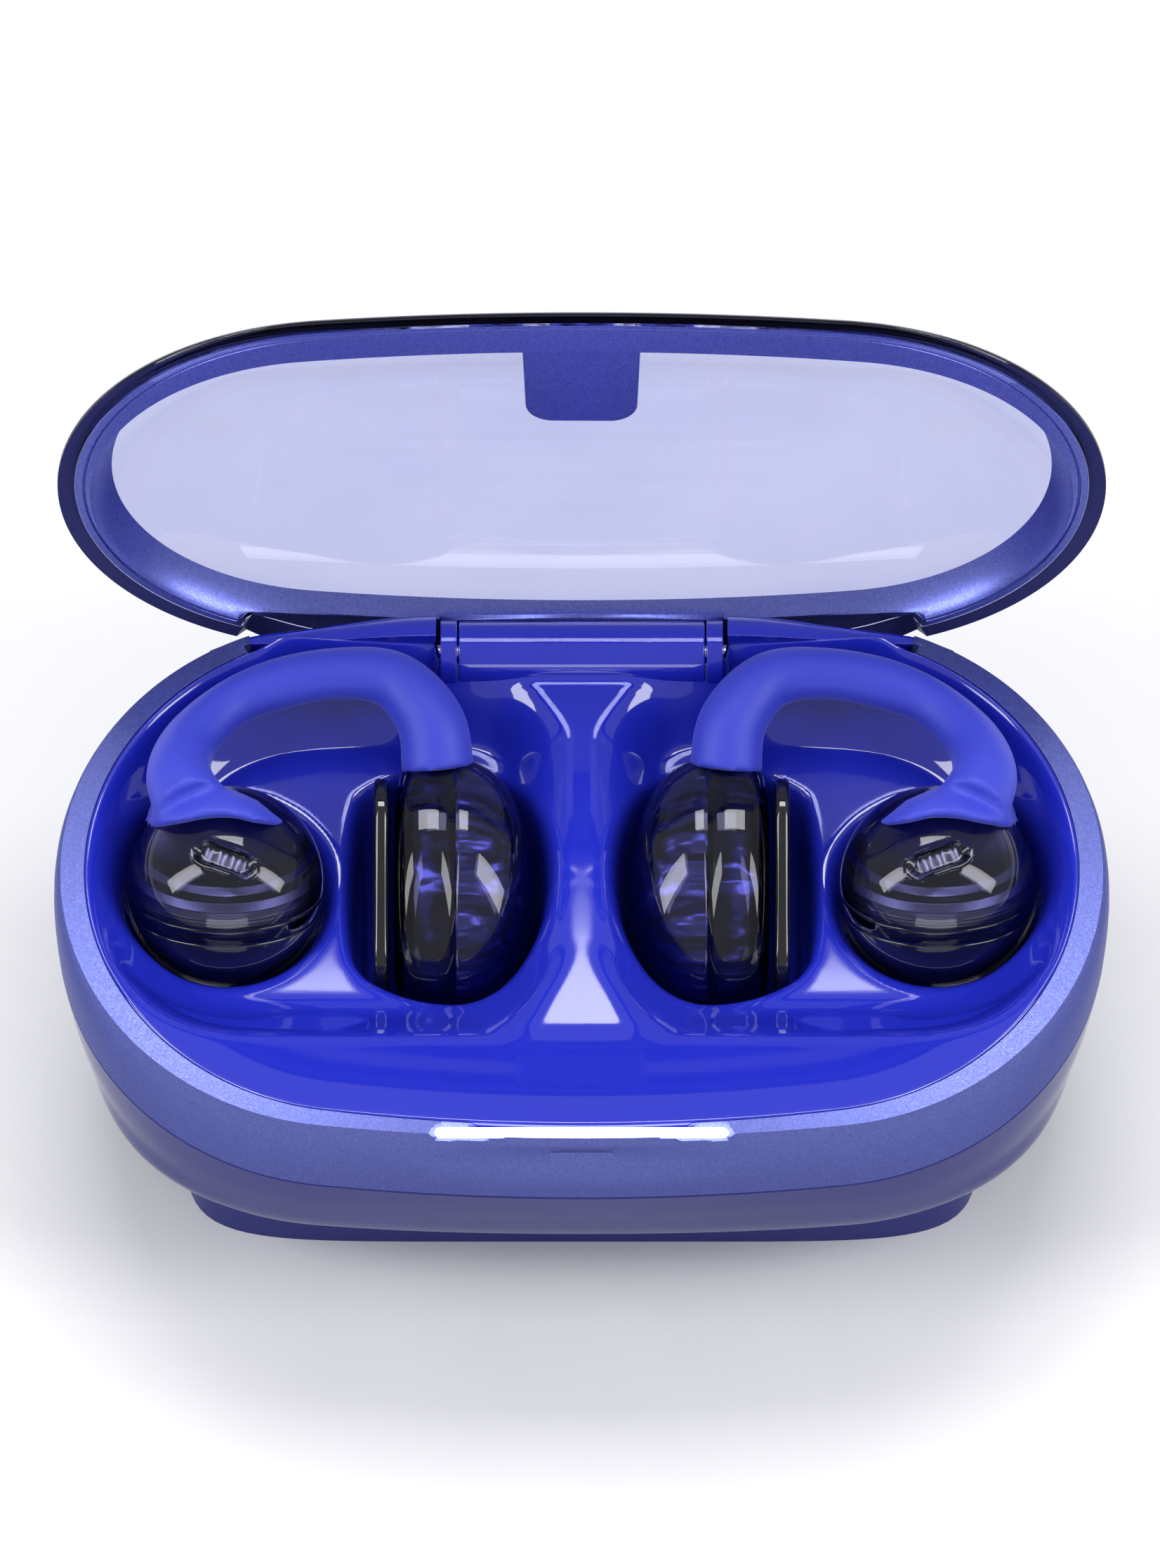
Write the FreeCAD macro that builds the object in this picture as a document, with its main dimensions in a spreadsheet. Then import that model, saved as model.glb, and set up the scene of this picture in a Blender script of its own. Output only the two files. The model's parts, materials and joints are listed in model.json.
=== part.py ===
"""Charging case with two open-ear clip earbuds, modelled with its lid open.

Frame: millimetres, +Z up, +X to the case's right, +Y to its back. The origin is the centre of the
foot's bottom face. The case is symmetric about the YZ plane, and so are the two earbuds.
"""
import FreeCAD, Part
import math
import os
import Sketcher

V = FreeCAD.Vector
doc = FreeCAD.newDocument("ClipEarbudCase")

# ---------------------------------------------------------------- driving dimensions
SIZES = {
    # case body
    "case_half_length": 37.0, "case_half_depth": 21.6, "case_end_radius": 20.7,
    "rim_height": 28.0, "band_height": 8.4, "foot_height": 3.9,
    "foot_half_length": 28.3, "foot_half_depth": 14.5, "foot_end_radius": 13.7, "foot_edge": 0.8,
    "shell_wall": 1.6, "seam_half_length": 35.15, "seam_half_depth": 20.6, "seam_end_radius": 19.5,
    # light bar in the front of the band
    "bar_length": 20.7, "bar_height": 0.75, "bar_depth": 0.75, "bar_front": 21.35,
    # tray
    "tray_gap": 0.05, "deck_floor": 24.5, "deck_bottom": 23.0, "bib_drop": 1.1,
    "cup_wall": 1.1, "pocket_left": 33.2, "pocket_right": 2.7, "pocket_front": 10.5,
    "pocket_back": 17.2, "pocket_wall": 1.1, "well_clearance": 0.45,
    # hinge
    "hinge_back": 18.64, "hinge_height": 26.5, "pin_radius": 0.6, "pin_length": 24.0,
    "roll_radius": 1.5, "shoulder_radius": 2.65, "knuckle_inner": 1.7, "knuckle_outer": 2.85,
    "knuckle_half": 10.1, "cheek_inner": 8.9, "roll_half": 8.7, "shoulder_start": 10.35,
    "shoulder_end": 23.0, "channel_floor": 23.0, "open_angle": 93.6, "lid_travel_gap": 0.15,
    # lid
    "lid_wall": 1.2, "window_half_length": 33.2, "window_half_depth": 17.2, "window_height": 2.5,
    "window_back": 0.9,
    "liner_mouth_half_length": 34.7, "liner_mouth_half_depth": 18.3, "liner_mouth_back": 1.2,
    "tab_width": 8.4, "tab_end": 7.9, "tab_root": 17.6, "tab_thickness": 1.6, "tab_corner": 1.5,
    "lid_magnet_radius": 2.0, "lid_magnet_thickness": 0.8, "magnet_back": -13.8,
    # electronics in the case
    "board_length": 48.0, "board_depth": 24.0, "board_thickness": 0.8, "board_height": 11.4,
    "board_front": -10.0, "post_x": 22.0, "post_front": -8.5, "post_back": 12.5, "post_radius": 1.6,
    "screw_radius": 0.65, "screw_head_radius": 1.3, "screw_head_height": 0.8, "screw_length": 5.0,
    "cell_length": 38.0, "cell_depth": 15.0, "cell_thickness": 5.2, "cell_corner": 1.5,
    "socket_width": 8.94, "socket_height": 3.26, "socket_depth": 7.2, "socket_back": 20.0,
    "socket_metal": 0.3, "tongue_width": 6.7, "tongue_height": 0.7, "tongue_depth": 4.6,
    "plunger_radius": 0.45, "plunger_length": 2.15, "barrel_radius": 0.8, "barrel_length": 3.0,
    "contact_pitch": 3.0, "contact_radius": 0.8, "contact_thickness": 0.4, "contact_gap": 0.05,
    "dock_magnet_radius": 2.5, "dock_magnet_thickness": 1.5,
    # earbud: battery pod
    "pod_x": 8.9, "pod_y": 1.73, "pod_height": 22.5, "pod_tilt": 25.0,
    "pod_half_width": 5.75, "pod_half_length": 9.2, "pod_wall": 0.8,
    "pod_face": 4.4, "pod_face_half_length": 8.3, "pod_face_half_depth": 5.1,
    "button_length": 15.4, "button_depth": 8.2, "button_thickness": 1.1, "button_gap": 0.35,
    "button_corner": 2.8, "stem_radius": 0.8, "stem_hole_radius": 1.3, "stem_length": 0.8,
    "pod_cell_radius": 3.0, "pod_cell_length": 8.0, "pod_board_length": 9.0, "pod_board_depth": 5.0,
    "pod_board_thickness": 0.5, "switch_radius": 1.2, "switch_height": 0.4,
    # earbud: speaker
    "speaker_x": 25.2, "speaker_y": 0.9, "speaker_height": 24.5, "speaker_radius": 7.0,
    "speaker_wall": 0.9, "speaker_lean": 34.8, "ring_top": -0.3, "ring_bottom": -1.6,
    "driver_radius": 4.6, "driver_thickness": 2.6, "slot_length": 4.4, "slot_width": 1.7,
    "grille_thickness": 0.3, "slot_lean": 13.2,
    # earbud: bridge
    "saddle_thickness": 1.0, "wire_radius": 0.5,
}
sheet = doc.addObject("Spreadsheet::Sheet", "Sizes")
for row, (alias, value) in enumerate(SIZES.items(), start=1):
    sheet.set("A%d" % row, alias)
    sheet.set("B%d" % row, str(value))
    sheet.setAlias("B%d" % row, alias)
doc.recompute()


def size(alias):
    """One driving dimension, read from the sheet."""
    return float(sheet.get(alias))


NODES = []


def node(obj):
    """Keep an object as a sub-part: its Label names its file."""
    NODES.append(obj)
    return obj


def feature(name, shape, placement=None):
    """A sub-part whose shape is worked out by Part's functions."""
    obj = doc.addObject("Part::Feature", name)
    obj.Label = name
    obj.Shape = shape
    if placement is not None:
        obj.Placement = placement.multiply(obj.Placement)
    return node(obj)


# ---------------------------------------------------------------- shape helpers
def oval(half_length, half_depth, end_radius, height, back=0.0):
    """A four-arc oval wire: two end arcs joined by two long arcs, tangent to them."""
    end_x = half_length - end_radius
    long_radius = (end_x ** 2 + half_depth ** 2 - end_radius ** 2) / (2 * (half_depth - end_radius))
    rise = long_radius - half_depth
    join = math.atan2(rise, end_x)

    def on(radius, angle, cx, cy):
        return V(cx + radius * math.cos(angle), cy + radius * math.sin(angle) + back, height)

    quarter = math.pi / 2
    arcs = [
        Part.Arc(on(end_radius, -join, end_x, 0), on(end_radius, 0, end_x, 0),
                 on(end_radius, join, end_x, 0)),
        Part.Arc(on(long_radius, join, 0, -rise), on(long_radius, quarter, 0, -rise),
                 on(long_radius, math.pi - join, 0, -rise)),
        Part.Arc(on(end_radius, math.pi - join, -end_x, 0), on(end_radius, math.pi, -end_x, 0),
                 on(end_radius, math.pi + join, -end_x, 0)),
        Part.Arc(on(long_radius, math.pi + join, 0, rise), on(long_radius, -quarter, 0, rise),
                 on(long_radius, -join, 0, rise)),
    ]
    return Part.Wire([arc.toShape() for arc in arcs])


def oval_loft(levels, inset=0.0):
    """A smooth solid through ovals: (half length, half depth, end radius, height, shift back)."""
    wires = [oval(a - inset, b - inset, r - inset, *place) for a, b, r, *place in levels]
    return Part.makeLoft(wires, True, False)


def oval_prism(half_length, half_depth, end_radius, low, high, back=0.0):
    """A straight solid on an oval."""
    face = Part.Face(oval(half_length, half_depth, end_radius, low, back))
    return face.extrude(V(0, 0, high - low))


def rounded_box(x, y, z, corner):
    """A box from (low, high) pairs, with its four upright edges rounded."""
    box = Part.makeBox(x[1] - x[0], y[1] - y[0], z[1] - z[0], V(x[0], y[0], z[0]))
    upright = [edge for edge in box.Edges
               if abs(edge.Vertexes[0].Z - edge.Vertexes[1].Z) > 1e-6]
    return box.makeFillet(corner, upright) if corner else box


def plain_box(x, y, z):
    """A box from (low, high) pairs."""
    return Part.makeBox(x[1] - x[0], y[1] - y[0], z[1] - z[0], V(x[0], y[0], z[0]))


def half_egg(half_length, radius):
    """The -X half of an ellipsoid of revolution about the Y axis, its middle at the origin."""
    ellipse = Part.Ellipse(V(0, half_length, 0), V(0, 0, radius), V(0, 0, 0))
    arc = Part.Arc(ellipse, 0, math.pi).toShape()
    axis = Part.makeLine(arc.Vertexes[-1].Point, arc.Vertexes[0].Point)
    half = Part.Face(Part.Wire([arc, axis])).revolve(V(0, 0, 0), V(0, 1, 0), -180)
    return half.toNurbs()


def sector(inner, outer, start, end, x_low, x_high):
    """A ring sector about the hinge axis: angles in degrees from +Y towards +Z."""
    corners = [V(x_low, inner, 0), V(x_high, inner, 0), V(x_high, outer, 0), V(x_low, outer, 0)]
    face = Part.Face(Part.makePolygon(corners + corners[:1]))
    face.rotate(V(0, 0, 0), V(1, 0, 0), start)
    ring = face.revolve(V(0, 0, 0), V(1, 0, 0), end - start)
    ring.translate(V(0, size("hinge_back"), size("hinge_height")))
    return ring


def hinge_cylinder(radius, x_low, x_high):
    """A round bar along the hinge axis."""
    base = V(x_low, size("hinge_back"), size("hinge_height"))
    return Part.makeCylinder(radius, x_high - x_low, base, V(1, 0, 0))


def both_sides(shape):
    """The shape and its mirror image in the YZ plane, as one."""
    return shape.fuse(shape.mirror(V(0, 0, 0), V(1, 0, 0)))


def sketch_on(body, name, role="XY_Plane"):
    """A new sketch on one of a body's own origin planes."""
    plane = next(item for item in body.Origin.OriginFeatures if item.Role == role)
    sketch = body.newObject("Sketcher::SketchObject", name)
    sketch.AttachmentSupport = [(plane, "")]
    sketch.MapMode = "FlatFace"
    return sketch


def pad_sketch(body, sketch, thickness):
    """Pad a sketch by a length bound to the sheet."""
    pad = body.newObject("PartDesign::Pad", sketch.Name + "_pad")
    pad.Profile = sketch
    pad.setExpression("Length", thickness)
    body.Tip = pad
    doc.recompute()
    return pad


def plate(name, length, depth, thickness, placement, corner=None):
    """A plate centred on its placement in X and Y, standing on it in Z; sizes are expressions."""
    body = doc.addObject("PartDesign::Body", name)
    body.Label = name
    sketch = sketch_on(body, name + "_outline")
    ends = [V(-1, -1, 0), V(1, -1, 0), V(1, 1, 0), V(-1, 1, 0)]
    for start, end in zip(ends, ends[1:] + ends[:1]):
        sketch.addGeometry(Part.LineSegment(start, end), False)
    for line in range(4):
        sketch.addConstraint(Sketcher.Constraint("Coincident", line, 2, (line + 1) % 4, 1))
    for line, level in enumerate(("Horizontal", "Vertical", "Horizontal", "Vertical")):
        sketch.addConstraint(Sketcher.Constraint(level, line))
    sketch.addConstraint(Sketcher.Constraint("Symmetric", 0, 1, 2, 1, -1, 1))
    for line, sense, bound in ((0, "DistanceX", length), (1, "DistanceY", depth)):
        index = sketch.addConstraint(Sketcher.Constraint(sense, line, 1, line, 2, 2.0))
        sketch.setExpression("Constraints[%d]" % index, bound)
    pad = pad_sketch(body, sketch, thickness)
    if corner:
        upright = ["Edge%d" % (i + 1) for i, edge in enumerate(pad.Shape.Edges)
                   if abs(edge.Vertexes[0].Z - edge.Vertexes[-1].Z) > 1e-6]
        fillet = body.newObject("PartDesign::Fillet", name + "_corners")
        fillet.Base = (pad, upright)
        fillet.setExpression("Radius", corner)
        body.Tip = fillet
    body.Placement = placement
    doc.recompute()
    return node(body)


def disc(name, radius, thickness, placement, bore=None):
    """A disc standing on its placement along its own Z; sizes are expressions."""
    body = doc.addObject("PartDesign::Body", name)
    body.Label = name
    sketch = sketch_on(body, name + "_outline")
    for bound in (radius, bore):
        if bound:
            circle = Part.Circle(V(0, 0, 0), V(0, 0, 1), 1.0 if bound is radius else 0.5)
            index = sketch.addGeometry(circle, False)
            sketch.addConstraint(Sketcher.Constraint("Coincident", index, 3, -1, 1))
            index = sketch.addConstraint(Sketcher.Constraint("Radius", index, circle.Radius))
            sketch.setExpression("Constraints[%d]" % index, bound)
    pad_sketch(body, sketch, thickness)
    body.Placement = placement
    doc.recompute()
    return node(body)


def group(name, solids):
    """Several identical solids kept as one sub-part."""
    return feature(name, Part.makeCompound(solids))


def at(x, y, z, turn_axis=V(0, 0, 1), turn=0.0):
    """A placement at a point, turned about an axis."""
    return FreeCAD.Placement(V(x, y, z), FreeCAD.Rotation(turn_axis, turn))


# ---------------------------------------------------------------- case body
A, B, R = size("case_half_length"), size("case_half_depth"), size("case_end_radius")
RIM = size("rim_height")
BAND_FOOT = RIM - size("band_height")
FOOT = size("foot_height")
HINGE_Y, HINGE_Z = size("hinge_back"), size("hinge_height")

# outer ovals from the foot's ledge to the rim: half length, half depth, end radius, height
SHELL_LEVELS = [
    (A - 3.1, B - 6.7, 14.3, FOOT),
    (A - 1.7, B - 3.3, 17.6, RIM - 20.0),
    (A - 0.5, B - 1.3, 19.5, RIM - 14.0),
    (A + 0.15, B + 0.15, 20.8, BAND_FOOT),
]
BAND_LEVELS = [
    (A + 0.15, B + 0.15, 20.8, BAND_FOOT),
    (A + 0.35, B + 0.35, 21.0, RIM - 4.0),
    (A + 0.3, B + 0.25, 20.95, RIM - 2.0),
    (A, B, R, RIM),
]
OUTLINE = oval_prism(A + 0.35, B + 0.35, R + 0.35, 0, RIM + 4)


def make_foot_plate():
    """The oval foot that the case stands on, with a rounded bottom edge."""
    plinth = oval_prism(size("foot_half_length"), size("foot_half_depth"),
                        size("foot_end_radius"), 0, FOOT)
    rim = [edge for edge in plinth.Edges if edge.BoundBox.ZMax < 1e-6]
    return feature("foot_plate", plinth.makeFillet(size("foot_edge"), rim))


def socket_box(grow, front, back):
    """The charging socket's outline, grown all round, between two depths."""
    low = size("board_height") + size("board_thickness")
    half, height = size("socket_width") / 2 + grow, size("socket_height")
    box = plain_box((-half, half), (front, back), (low - grow, low + height + grow))
    along = [edge for edge in box.Edges
             if abs(edge.Vertexes[0].Y - edge.Vertexes[1].Y) > 1e-6]
    return box.makeFillet(height / 2 + grow - 0.1, along)


def post_places():
    """The four posts that carry the main board."""
    return [(side * size("post_x"), y) for side in (-1, 1)
            for y in (size("post_front"), size("post_back"))]


def make_base_shell():
    """The tinted lower casing: an open cup with posts for the board and a socket hole."""
    wall = size("shell_wall")
    cup = oval_loft(SHELL_LEVELS)
    levels = [(a, b, r, z + (wall if z == FOOT else 0)) for a, b, r, z in SHELL_LEVELS]
    levels[-1] = levels[-1][:3] + (BAND_FOOT + 1,)
    cup = cup.cut(oval_loft(levels, wall))
    for x, y in post_places():
        height = size("board_height") - FOOT - wall
        post = Part.makeCylinder(size("post_radius"), height, V(x, y, FOOT + wall))
        bore = Part.makeCylinder(size("screw_radius"), height, V(x, y, size("board_height") - 4.6))
        cup = cup.fuse(post).cut(bore)
    cup = cup.cut(socket_box(0.2, size("socket_back") - size("socket_depth"), B + 2))
    return feature("base_shell", cup)


def shoulder(side):
    """One raised shoulder beside the lid's knuckle, with its boss for the hinge pin."""
    start, end = size("shoulder_start"), size("shoulder_end") + 0.3
    pie = sector(0, size("shoulder_radius"), -75, 90, start, end)
    foot = plain_box((start, end), (HINGE_Y, HINGE_Y + 0.9), (size("channel_floor"), HINGE_Z))
    boss = hinge_cylinder(1.2, start, start + 1.85)
    shape = pie.fuse([foot, boss]).common(OUTLINE)
    return shape if side > 0 else shape.mirror(V(0, 0, 0), V(1, 0, 0))


def make_trim_band():
    """The metallic band round the rim, with the hinge's roll and shoulders at its back."""
    seam = (size("seam_half_length"), size("seam_half_depth"), size("seam_end_radius"))
    band = oval_loft(BAND_LEVELS).cut(oval_prism(*seam, BAND_FOOT - 1, RIM + 1))
    reach, floor = size("shoulder_end") + 0.3, size("channel_floor")
    band = band.cut(plain_box((-reach, reach), (HINGE_Y + 0.9, B + 2), (floor, RIM + 1)))
    deck = plain_box((-reach, reach), (HINGE_Y - 1.3, B - 0.9), (floor - 1, floor)).common(OUTLINE)
    roll = hinge_cylinder(size("roll_radius"), -size("roll_half"), size("roll_half"))
    stem = plain_box((-size("roll_half"), size("roll_half")), (HINGE_Y - 0.74, HINGE_Y + 0.26),
                     (floor, HINGE_Z))
    band = band.fuse([deck, roll, stem, shoulder(1), shoulder(-1)])
    pin_half = size("pin_length") / 2
    band = band.cut(hinge_cylinder(size("pin_radius"), -pin_half, pin_half))
    half, front = size("bar_length") / 2, -size("bar_front")
    slot = plain_box((-half, half), (front - 1, front + size("bar_depth")),
                     (RIM - size("bar_height"), RIM + 1))
    return feature("trim_band", band.cut(slot).removeSplitter())


def make_light_bar():
    """The long light bar let into the front of the band."""
    half, front = size("bar_length") / 2, -size("bar_front")
    bar = plain_box((-half, half), (front, front + size("bar_depth")),
                    (RIM - size("bar_height"), RIM + 0.05))
    ends = [edge for edge in bar.Edges
            if abs(edge.Vertexes[0].Y - edge.Vertexes[1].Y) > 1e-6 and edge.BoundBox.ZMax < RIM]
    return feature("light_bar", bar.makeFillet(0.3, ends))


# ---------------------------------------------------------------- earbud outlines
# The right earbud is modelled; the left one is its mirror image in the YZ plane.
# The bridge's middle line from the pod's neck, over the arch, to the speaker: x, y, z, radius.
BRIDGE = [
    (10.2, 8.9, 26.6, 2.6), (10.7, 12.0, 28.2, 2.45), (13.2, 15.0, 28.8, 2.1),
    (17.0, 15.6, 28.9, 1.85), (21.3, 14.9, 28.7, 1.85), (24.9, 13.3, 28.5, 1.75),
    (27.7, 10.0, 29.0, 1.8), (28.6, 6.5, 30.2, 1.9), (28.0, 3.6, 31.0, 2.1),
]
POD_PLACE = at(size("pod_x"), size("pod_y"), size("pod_height"), V(1, 0, 0), size("pod_tilt"))
SPEAKER_CENTRE = V(size("speaker_x"), size("speaker_y"), size("speaker_height"))
SPEAKER_PLACE = FreeCAD.Placement(SPEAKER_CENTRE,
                                  FreeCAD.Rotation(V(1, 0, 0), -size("speaker_lean")))


def ellipse_wire(x, half_length, half_depth):
    """An ellipse across the pod at a distance x from its middle plane."""
    ellipse = Part.Ellipse(V(x, half_length, 0), V(x, 0, half_depth), V(x, 0, 0))
    return Part.Wire([ellipse.toShape()])


def pod_body(inset):
    """The pod's solid in its own frame: domed on the inner side, flat on the button's side."""
    width, length = size("pod_half_width") - inset, size("pod_half_length") - inset
    dome = half_egg(length, width)
    face = size("pod_face") - inset
    drum = Part.makeLoft([
        ellipse_wire(0, length, width), ellipse_wire(face * 0.5, length - 0.22, width - 0.16),
        ellipse_wire(face, size("pod_face_half_length") - inset, size("pod_face_half_depth") - inset),
    ], True, False)
    return dome, drum


def placed(shape, placement):
    """A copy of a shape moved into the object's frame."""
    moved = shape.copy()
    moved.transformShape(placement.toMatrix())
    return moved


def button_solid(grow):
    """The flat button plate on the pod's outer side, in the pod's frame."""
    half_l, half_d = size("button_length") / 2 + grow, size("button_depth") / 2 + grow
    low = size("pod_face") + size("button_gap") - grow
    slab = plain_box((low, low + size("button_thickness") + 2 * grow), (-half_l, half_l),
                     (-half_d, half_d))
    across = [edge for edge in slab.Edges
              if abs(edge.Vertexes[0].X - edge.Vertexes[1].X) > 1e-6]
    return slab.makeFillet(size("button_corner") + grow, across)


# ---------------------------------------------------------------- tray
def side_wells():
    """The hollow for the right earbud: an upper pocket and a well for each of its two ends."""
    gap, top = size("well_clearance"), RIM + 12
    wall = size("pocket_wall")
    upper = oval_prism(size("seam_half_length") - wall, size("seam_half_depth") - wall,
                       size("seam_end_radius") - wall, size("deck_floor"), top)
    near = plain_box((size("pocket_right"), 12.3), (-size("pocket_front"), size("pocket_back") - 0.8),
                     (size("deck_floor"), top))
    far = plain_box((12.3, size("pocket_left") + 2), (-size("pocket_front"), size("pocket_back") + 0.6),
                    (size("deck_floor"), top))
    upper = upper.common(near.fuse(far))
    radius = size("speaker_radius") + gap
    ball = Part.makeSphere(radius, SPEAKER_CENTRE)
    chimneys = [Part.makeCylinder(radius, top - SPEAKER_CENTRE.z, SPEAKER_CENTRE + V(shift, 0, 0))
                for shift in (0, 1.2)]
    dome, drum = pod_body(-gap)
    pod = placed(dome.fuse([drum, button_solid(gap)]), POD_PLACE)
    x, y = size("pod_x"), size("pod_y")
    shaft = rounded_box((x - 6.3, x + 6.5), (y - 9.3, y + 9.3), (21.5, top), 1.8)
    return upper.fuse([ball, pod, shaft] + chimneys)


def side_cups():
    """The cups under the deck that hold the right earbud's two ends."""
    gap = size("well_clearance") + size("cup_wall")
    ball = Part.makeSphere(size("speaker_radius") + gap, SPEAKER_CENTRE)
    dome, drum = pod_body(-gap)
    pod = placed(dome.fuse([drum, button_solid(gap)]), POD_PLACE)
    below = plain_box((0, A), (-B, B), (0, size("deck_bottom") + 0.5))
    return ball.fuse(pod).common(below)


def pin_places():
    """The four spring pins, two under each pod: x and y."""
    tilt = math.radians(size("pod_tilt"))
    long_sq, wide_sq = size("pod_half_length") ** 2, size("pod_half_width") ** 2
    fall = math.sqrt(long_sq * math.sin(tilt) ** 2 + wide_sq * math.cos(tilt) ** 2)
    drop = (long_sq - wide_sq) * math.sin(tilt) * math.cos(tilt) / fall
    return [(side * size("pod_x") + step * size("contact_pitch") / 2, size("pod_y") - drop)
            for side in (-1, 1) for step in (-1, 1)]


def make_inner_tray():
    """The glossy tray: a deck with a front bib, a middle ridge and two wells a side."""
    gap, bottom = size("tray_gap"), size("deck_bottom")
    length, depth = size("seam_half_length") - gap, size("seam_half_depth") - gap
    deck = oval_prism(length, depth, size("seam_end_radius") - gap, bottom, RIM)
    reach = size("shoulder_end") + 0.4
    deck = deck.cut(plain_box((-reach, reach), (HINGE_Y - 0.09, B), (bottom - 1, RIM + 1)))
    boss = size("shoulder_start") + 1.95
    deck = deck.cut(plain_box((-boss, boss), (HINGE_Y - 1.59, B), (bottom - 1, RIM + 1)))
    dish = oval_prism(length - 1, depth - 1, size("seam_end_radius") - 1 - gap,
                      RIM - size("bib_drop"), RIM + 1)
    tray = deck.cut(dish).fuse(both_sides(side_cups())).cut(both_sides(side_wells()))
    tray = tray.cut(plain_box((-11.2, 11.2), (-B, -17.4), (bottom - 1, RIM - 2)))
    pocket = Part.makeCylinder(size("lid_magnet_radius") + 0.05, 2.2,
                               V(0, size("magnet_back"), bottom - 0.1))
    tray = tray.cut(pocket)
    for x, y in pin_places():
        tray = tray.cut(Part.makeCylinder(size("barrel_radius") + 0.1, 8, V(x, y, 12)))
    return feature("inner_tray", tray.removeSplitter())


# ---------------------------------------------------------------- electronics in the case
def make_electronics():
    """Board, screws, cell, socket, spring pins, magnets and the light bar's own board."""
    board_top = size("board_height") + size("board_thickness")
    middle = size("board_front") + size("board_depth") / 2
    board = plate("main_board_blank", "Sizes.board_length", "Sizes.board_depth",
                  "Sizes.board_thickness", at(0, middle, size("board_height")), "Sizes.post_radius")
    NODES.remove(board)
    holes = [Part.makeCylinder(size("screw_radius"), 4, V(x, y, size("board_height") - 1))
             for x, y in post_places()]
    feature("main_board", board.Shape.cut(Part.makeCompound(holes)))
    screws = []
    for x, y in post_places():
        shank = Part.makeCylinder(size("screw_radius"), size("screw_length"),
                                  V(x, y, board_top - size("screw_length")))
        head = Part.makeCylinder(size("screw_head_radius"), size("screw_head_height"),
                                 V(x, y, board_top))
        slot = plain_box((x - 1, x + 1), (y - 0.15, y + 0.15), (board_top + 0.45, board_top + 1))
        screws.append(shank.fuse(head).cut(slot))
    group("board_screws", screws)
    plate("case_cell", "Sizes.cell_length", "Sizes.cell_depth", "Sizes.cell_thickness",
          at(0, 0, FOOT + size("shell_wall") + 0.05), "Sizes.cell_corner")
    chips = [plain_box((-19, -14), (-3, 2), (board_top, board_top + 0.9)),
             plain_box((15, 18.5), (8.5, 12), (board_top, board_top + 0.8)),
             plain_box((-18, -15.5), (8, 11), (board_top, board_top + 1.2))]
    group("power_chips", chips)

    front, back = size("socket_back") - size("socket_depth"), size("socket_back")
    metal = size("socket_metal")
    socket = socket_box(0, front, back).cut(socket_box(-metal, front + metal, back + 1))
    feature("charging_socket", socket)
    half, low = size("tongue_width") / 2, board_top + size("socket_height") / 2
    thick = size("tongue_height") / 2
    feature("socket_tongue", plain_box((-half, half), (front + metal, front + size("tongue_depth")),
                                       (low - thick, low + thick)))

    pad = pad_bottom()
    barrels = []
    for index, (x, y) in enumerate(pin_places()):
        top = pad - size("contact_gap")
        low = top - size("plunger_length")
        barrel = Part.makeCylinder(size("barrel_radius"), size("barrel_length"), V(x, y, board_top))
        bore = Part.makeCylinder(size("plunger_radius") + 0.02, 9, V(x, y, low - 0.7))
        barrels.append(barrel.cut(bore))
        side = "left" if x < 0 else "right"
        place = "outer" if (index in (0, 3)) else "inner"
        disc("%s_pin_%s" % (side, place), "Sizes.plunger_radius", "Sizes.plunger_length",
             at(x, y, low))
    group("pin_barrels", barrels)
    for side, name in ((-1, "left"), (1, "right")):
        disc(name + "_dock_magnet", "Sizes.dock_magnet_radius", "Sizes.dock_magnet_thickness",
             at(side * 19.6, 13.0, size("deck_bottom") - size("dock_magnet_thickness")))
    disc("catch_magnet", "Sizes.lid_magnet_radius", "Sizes.dock_magnet_thickness",
         at(0, size("magnet_back"), size("deck_bottom") + 0.5))
    bar_board = plain_box((-10, 10), (-20.1, -19.5), (BAND_FOOT + 0.3, RIM - 2.2))
    lamps = [plain_box((x - 0.8, x + 0.8), (-20.2, -20.1), (RIM - 3.4, RIM - 2.6))
             for x in (-7.5, -2.5, 2.5, 7.5)]
    feature("bar_board", bar_board.fuse(lamps))
    feature("lid_sensor", plain_box((-1.5, 1.5), (-19.5, -18.7), (RIM - 5, RIM - 3)))


def pad_bottom():
    """Height of the contact pads' lower face, just proud of the pod's lowest skin."""
    tilt = math.radians(size("pod_tilt"))
    fall = math.hypot(size("pod_half_length") * math.sin(tilt), size("pod_half_width") * math.cos(tilt))
    across = size("contact_pitch") / 2 / size("pod_half_width")
    return size("pod_height") - fall * math.sqrt(1 - across ** 2) - 0.12


# ---------------------------------------------------------------- lid, made closed and swung open
LID_PLACE = FreeCAD.Placement(V(0, 0, 0), FreeCAD.Rotation(V(1, 0, 0), -size("open_angle")),
                              V(0, HINGE_Y, HINGE_Z))
LID_FOOT = RIM + size("lid_travel_gap")
# the dome's outer skin: distances in from the rim's outline at the front, the back and the
# sides, and height above the lid's foot; the front slopes gently and the back is steep
DOME_STEPS = [
    (0.0, 0.0, 0.0, 0.0), (1.8, 0.25, 0.35, 1.5), (4.4, 0.9, 1.1, 3.0), (7.1, 2.1, 2.4, 4.5),
    (9.8, 4.0, 4.4, 6.0), (12.4, 6.4, 7.0, 7.2), (15.0, 9.2, 10.4, 8.0), (17.8, 12.4, 14.5, 8.5),
    (19.9, 15.2, 18.5, 8.7),
]


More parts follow.
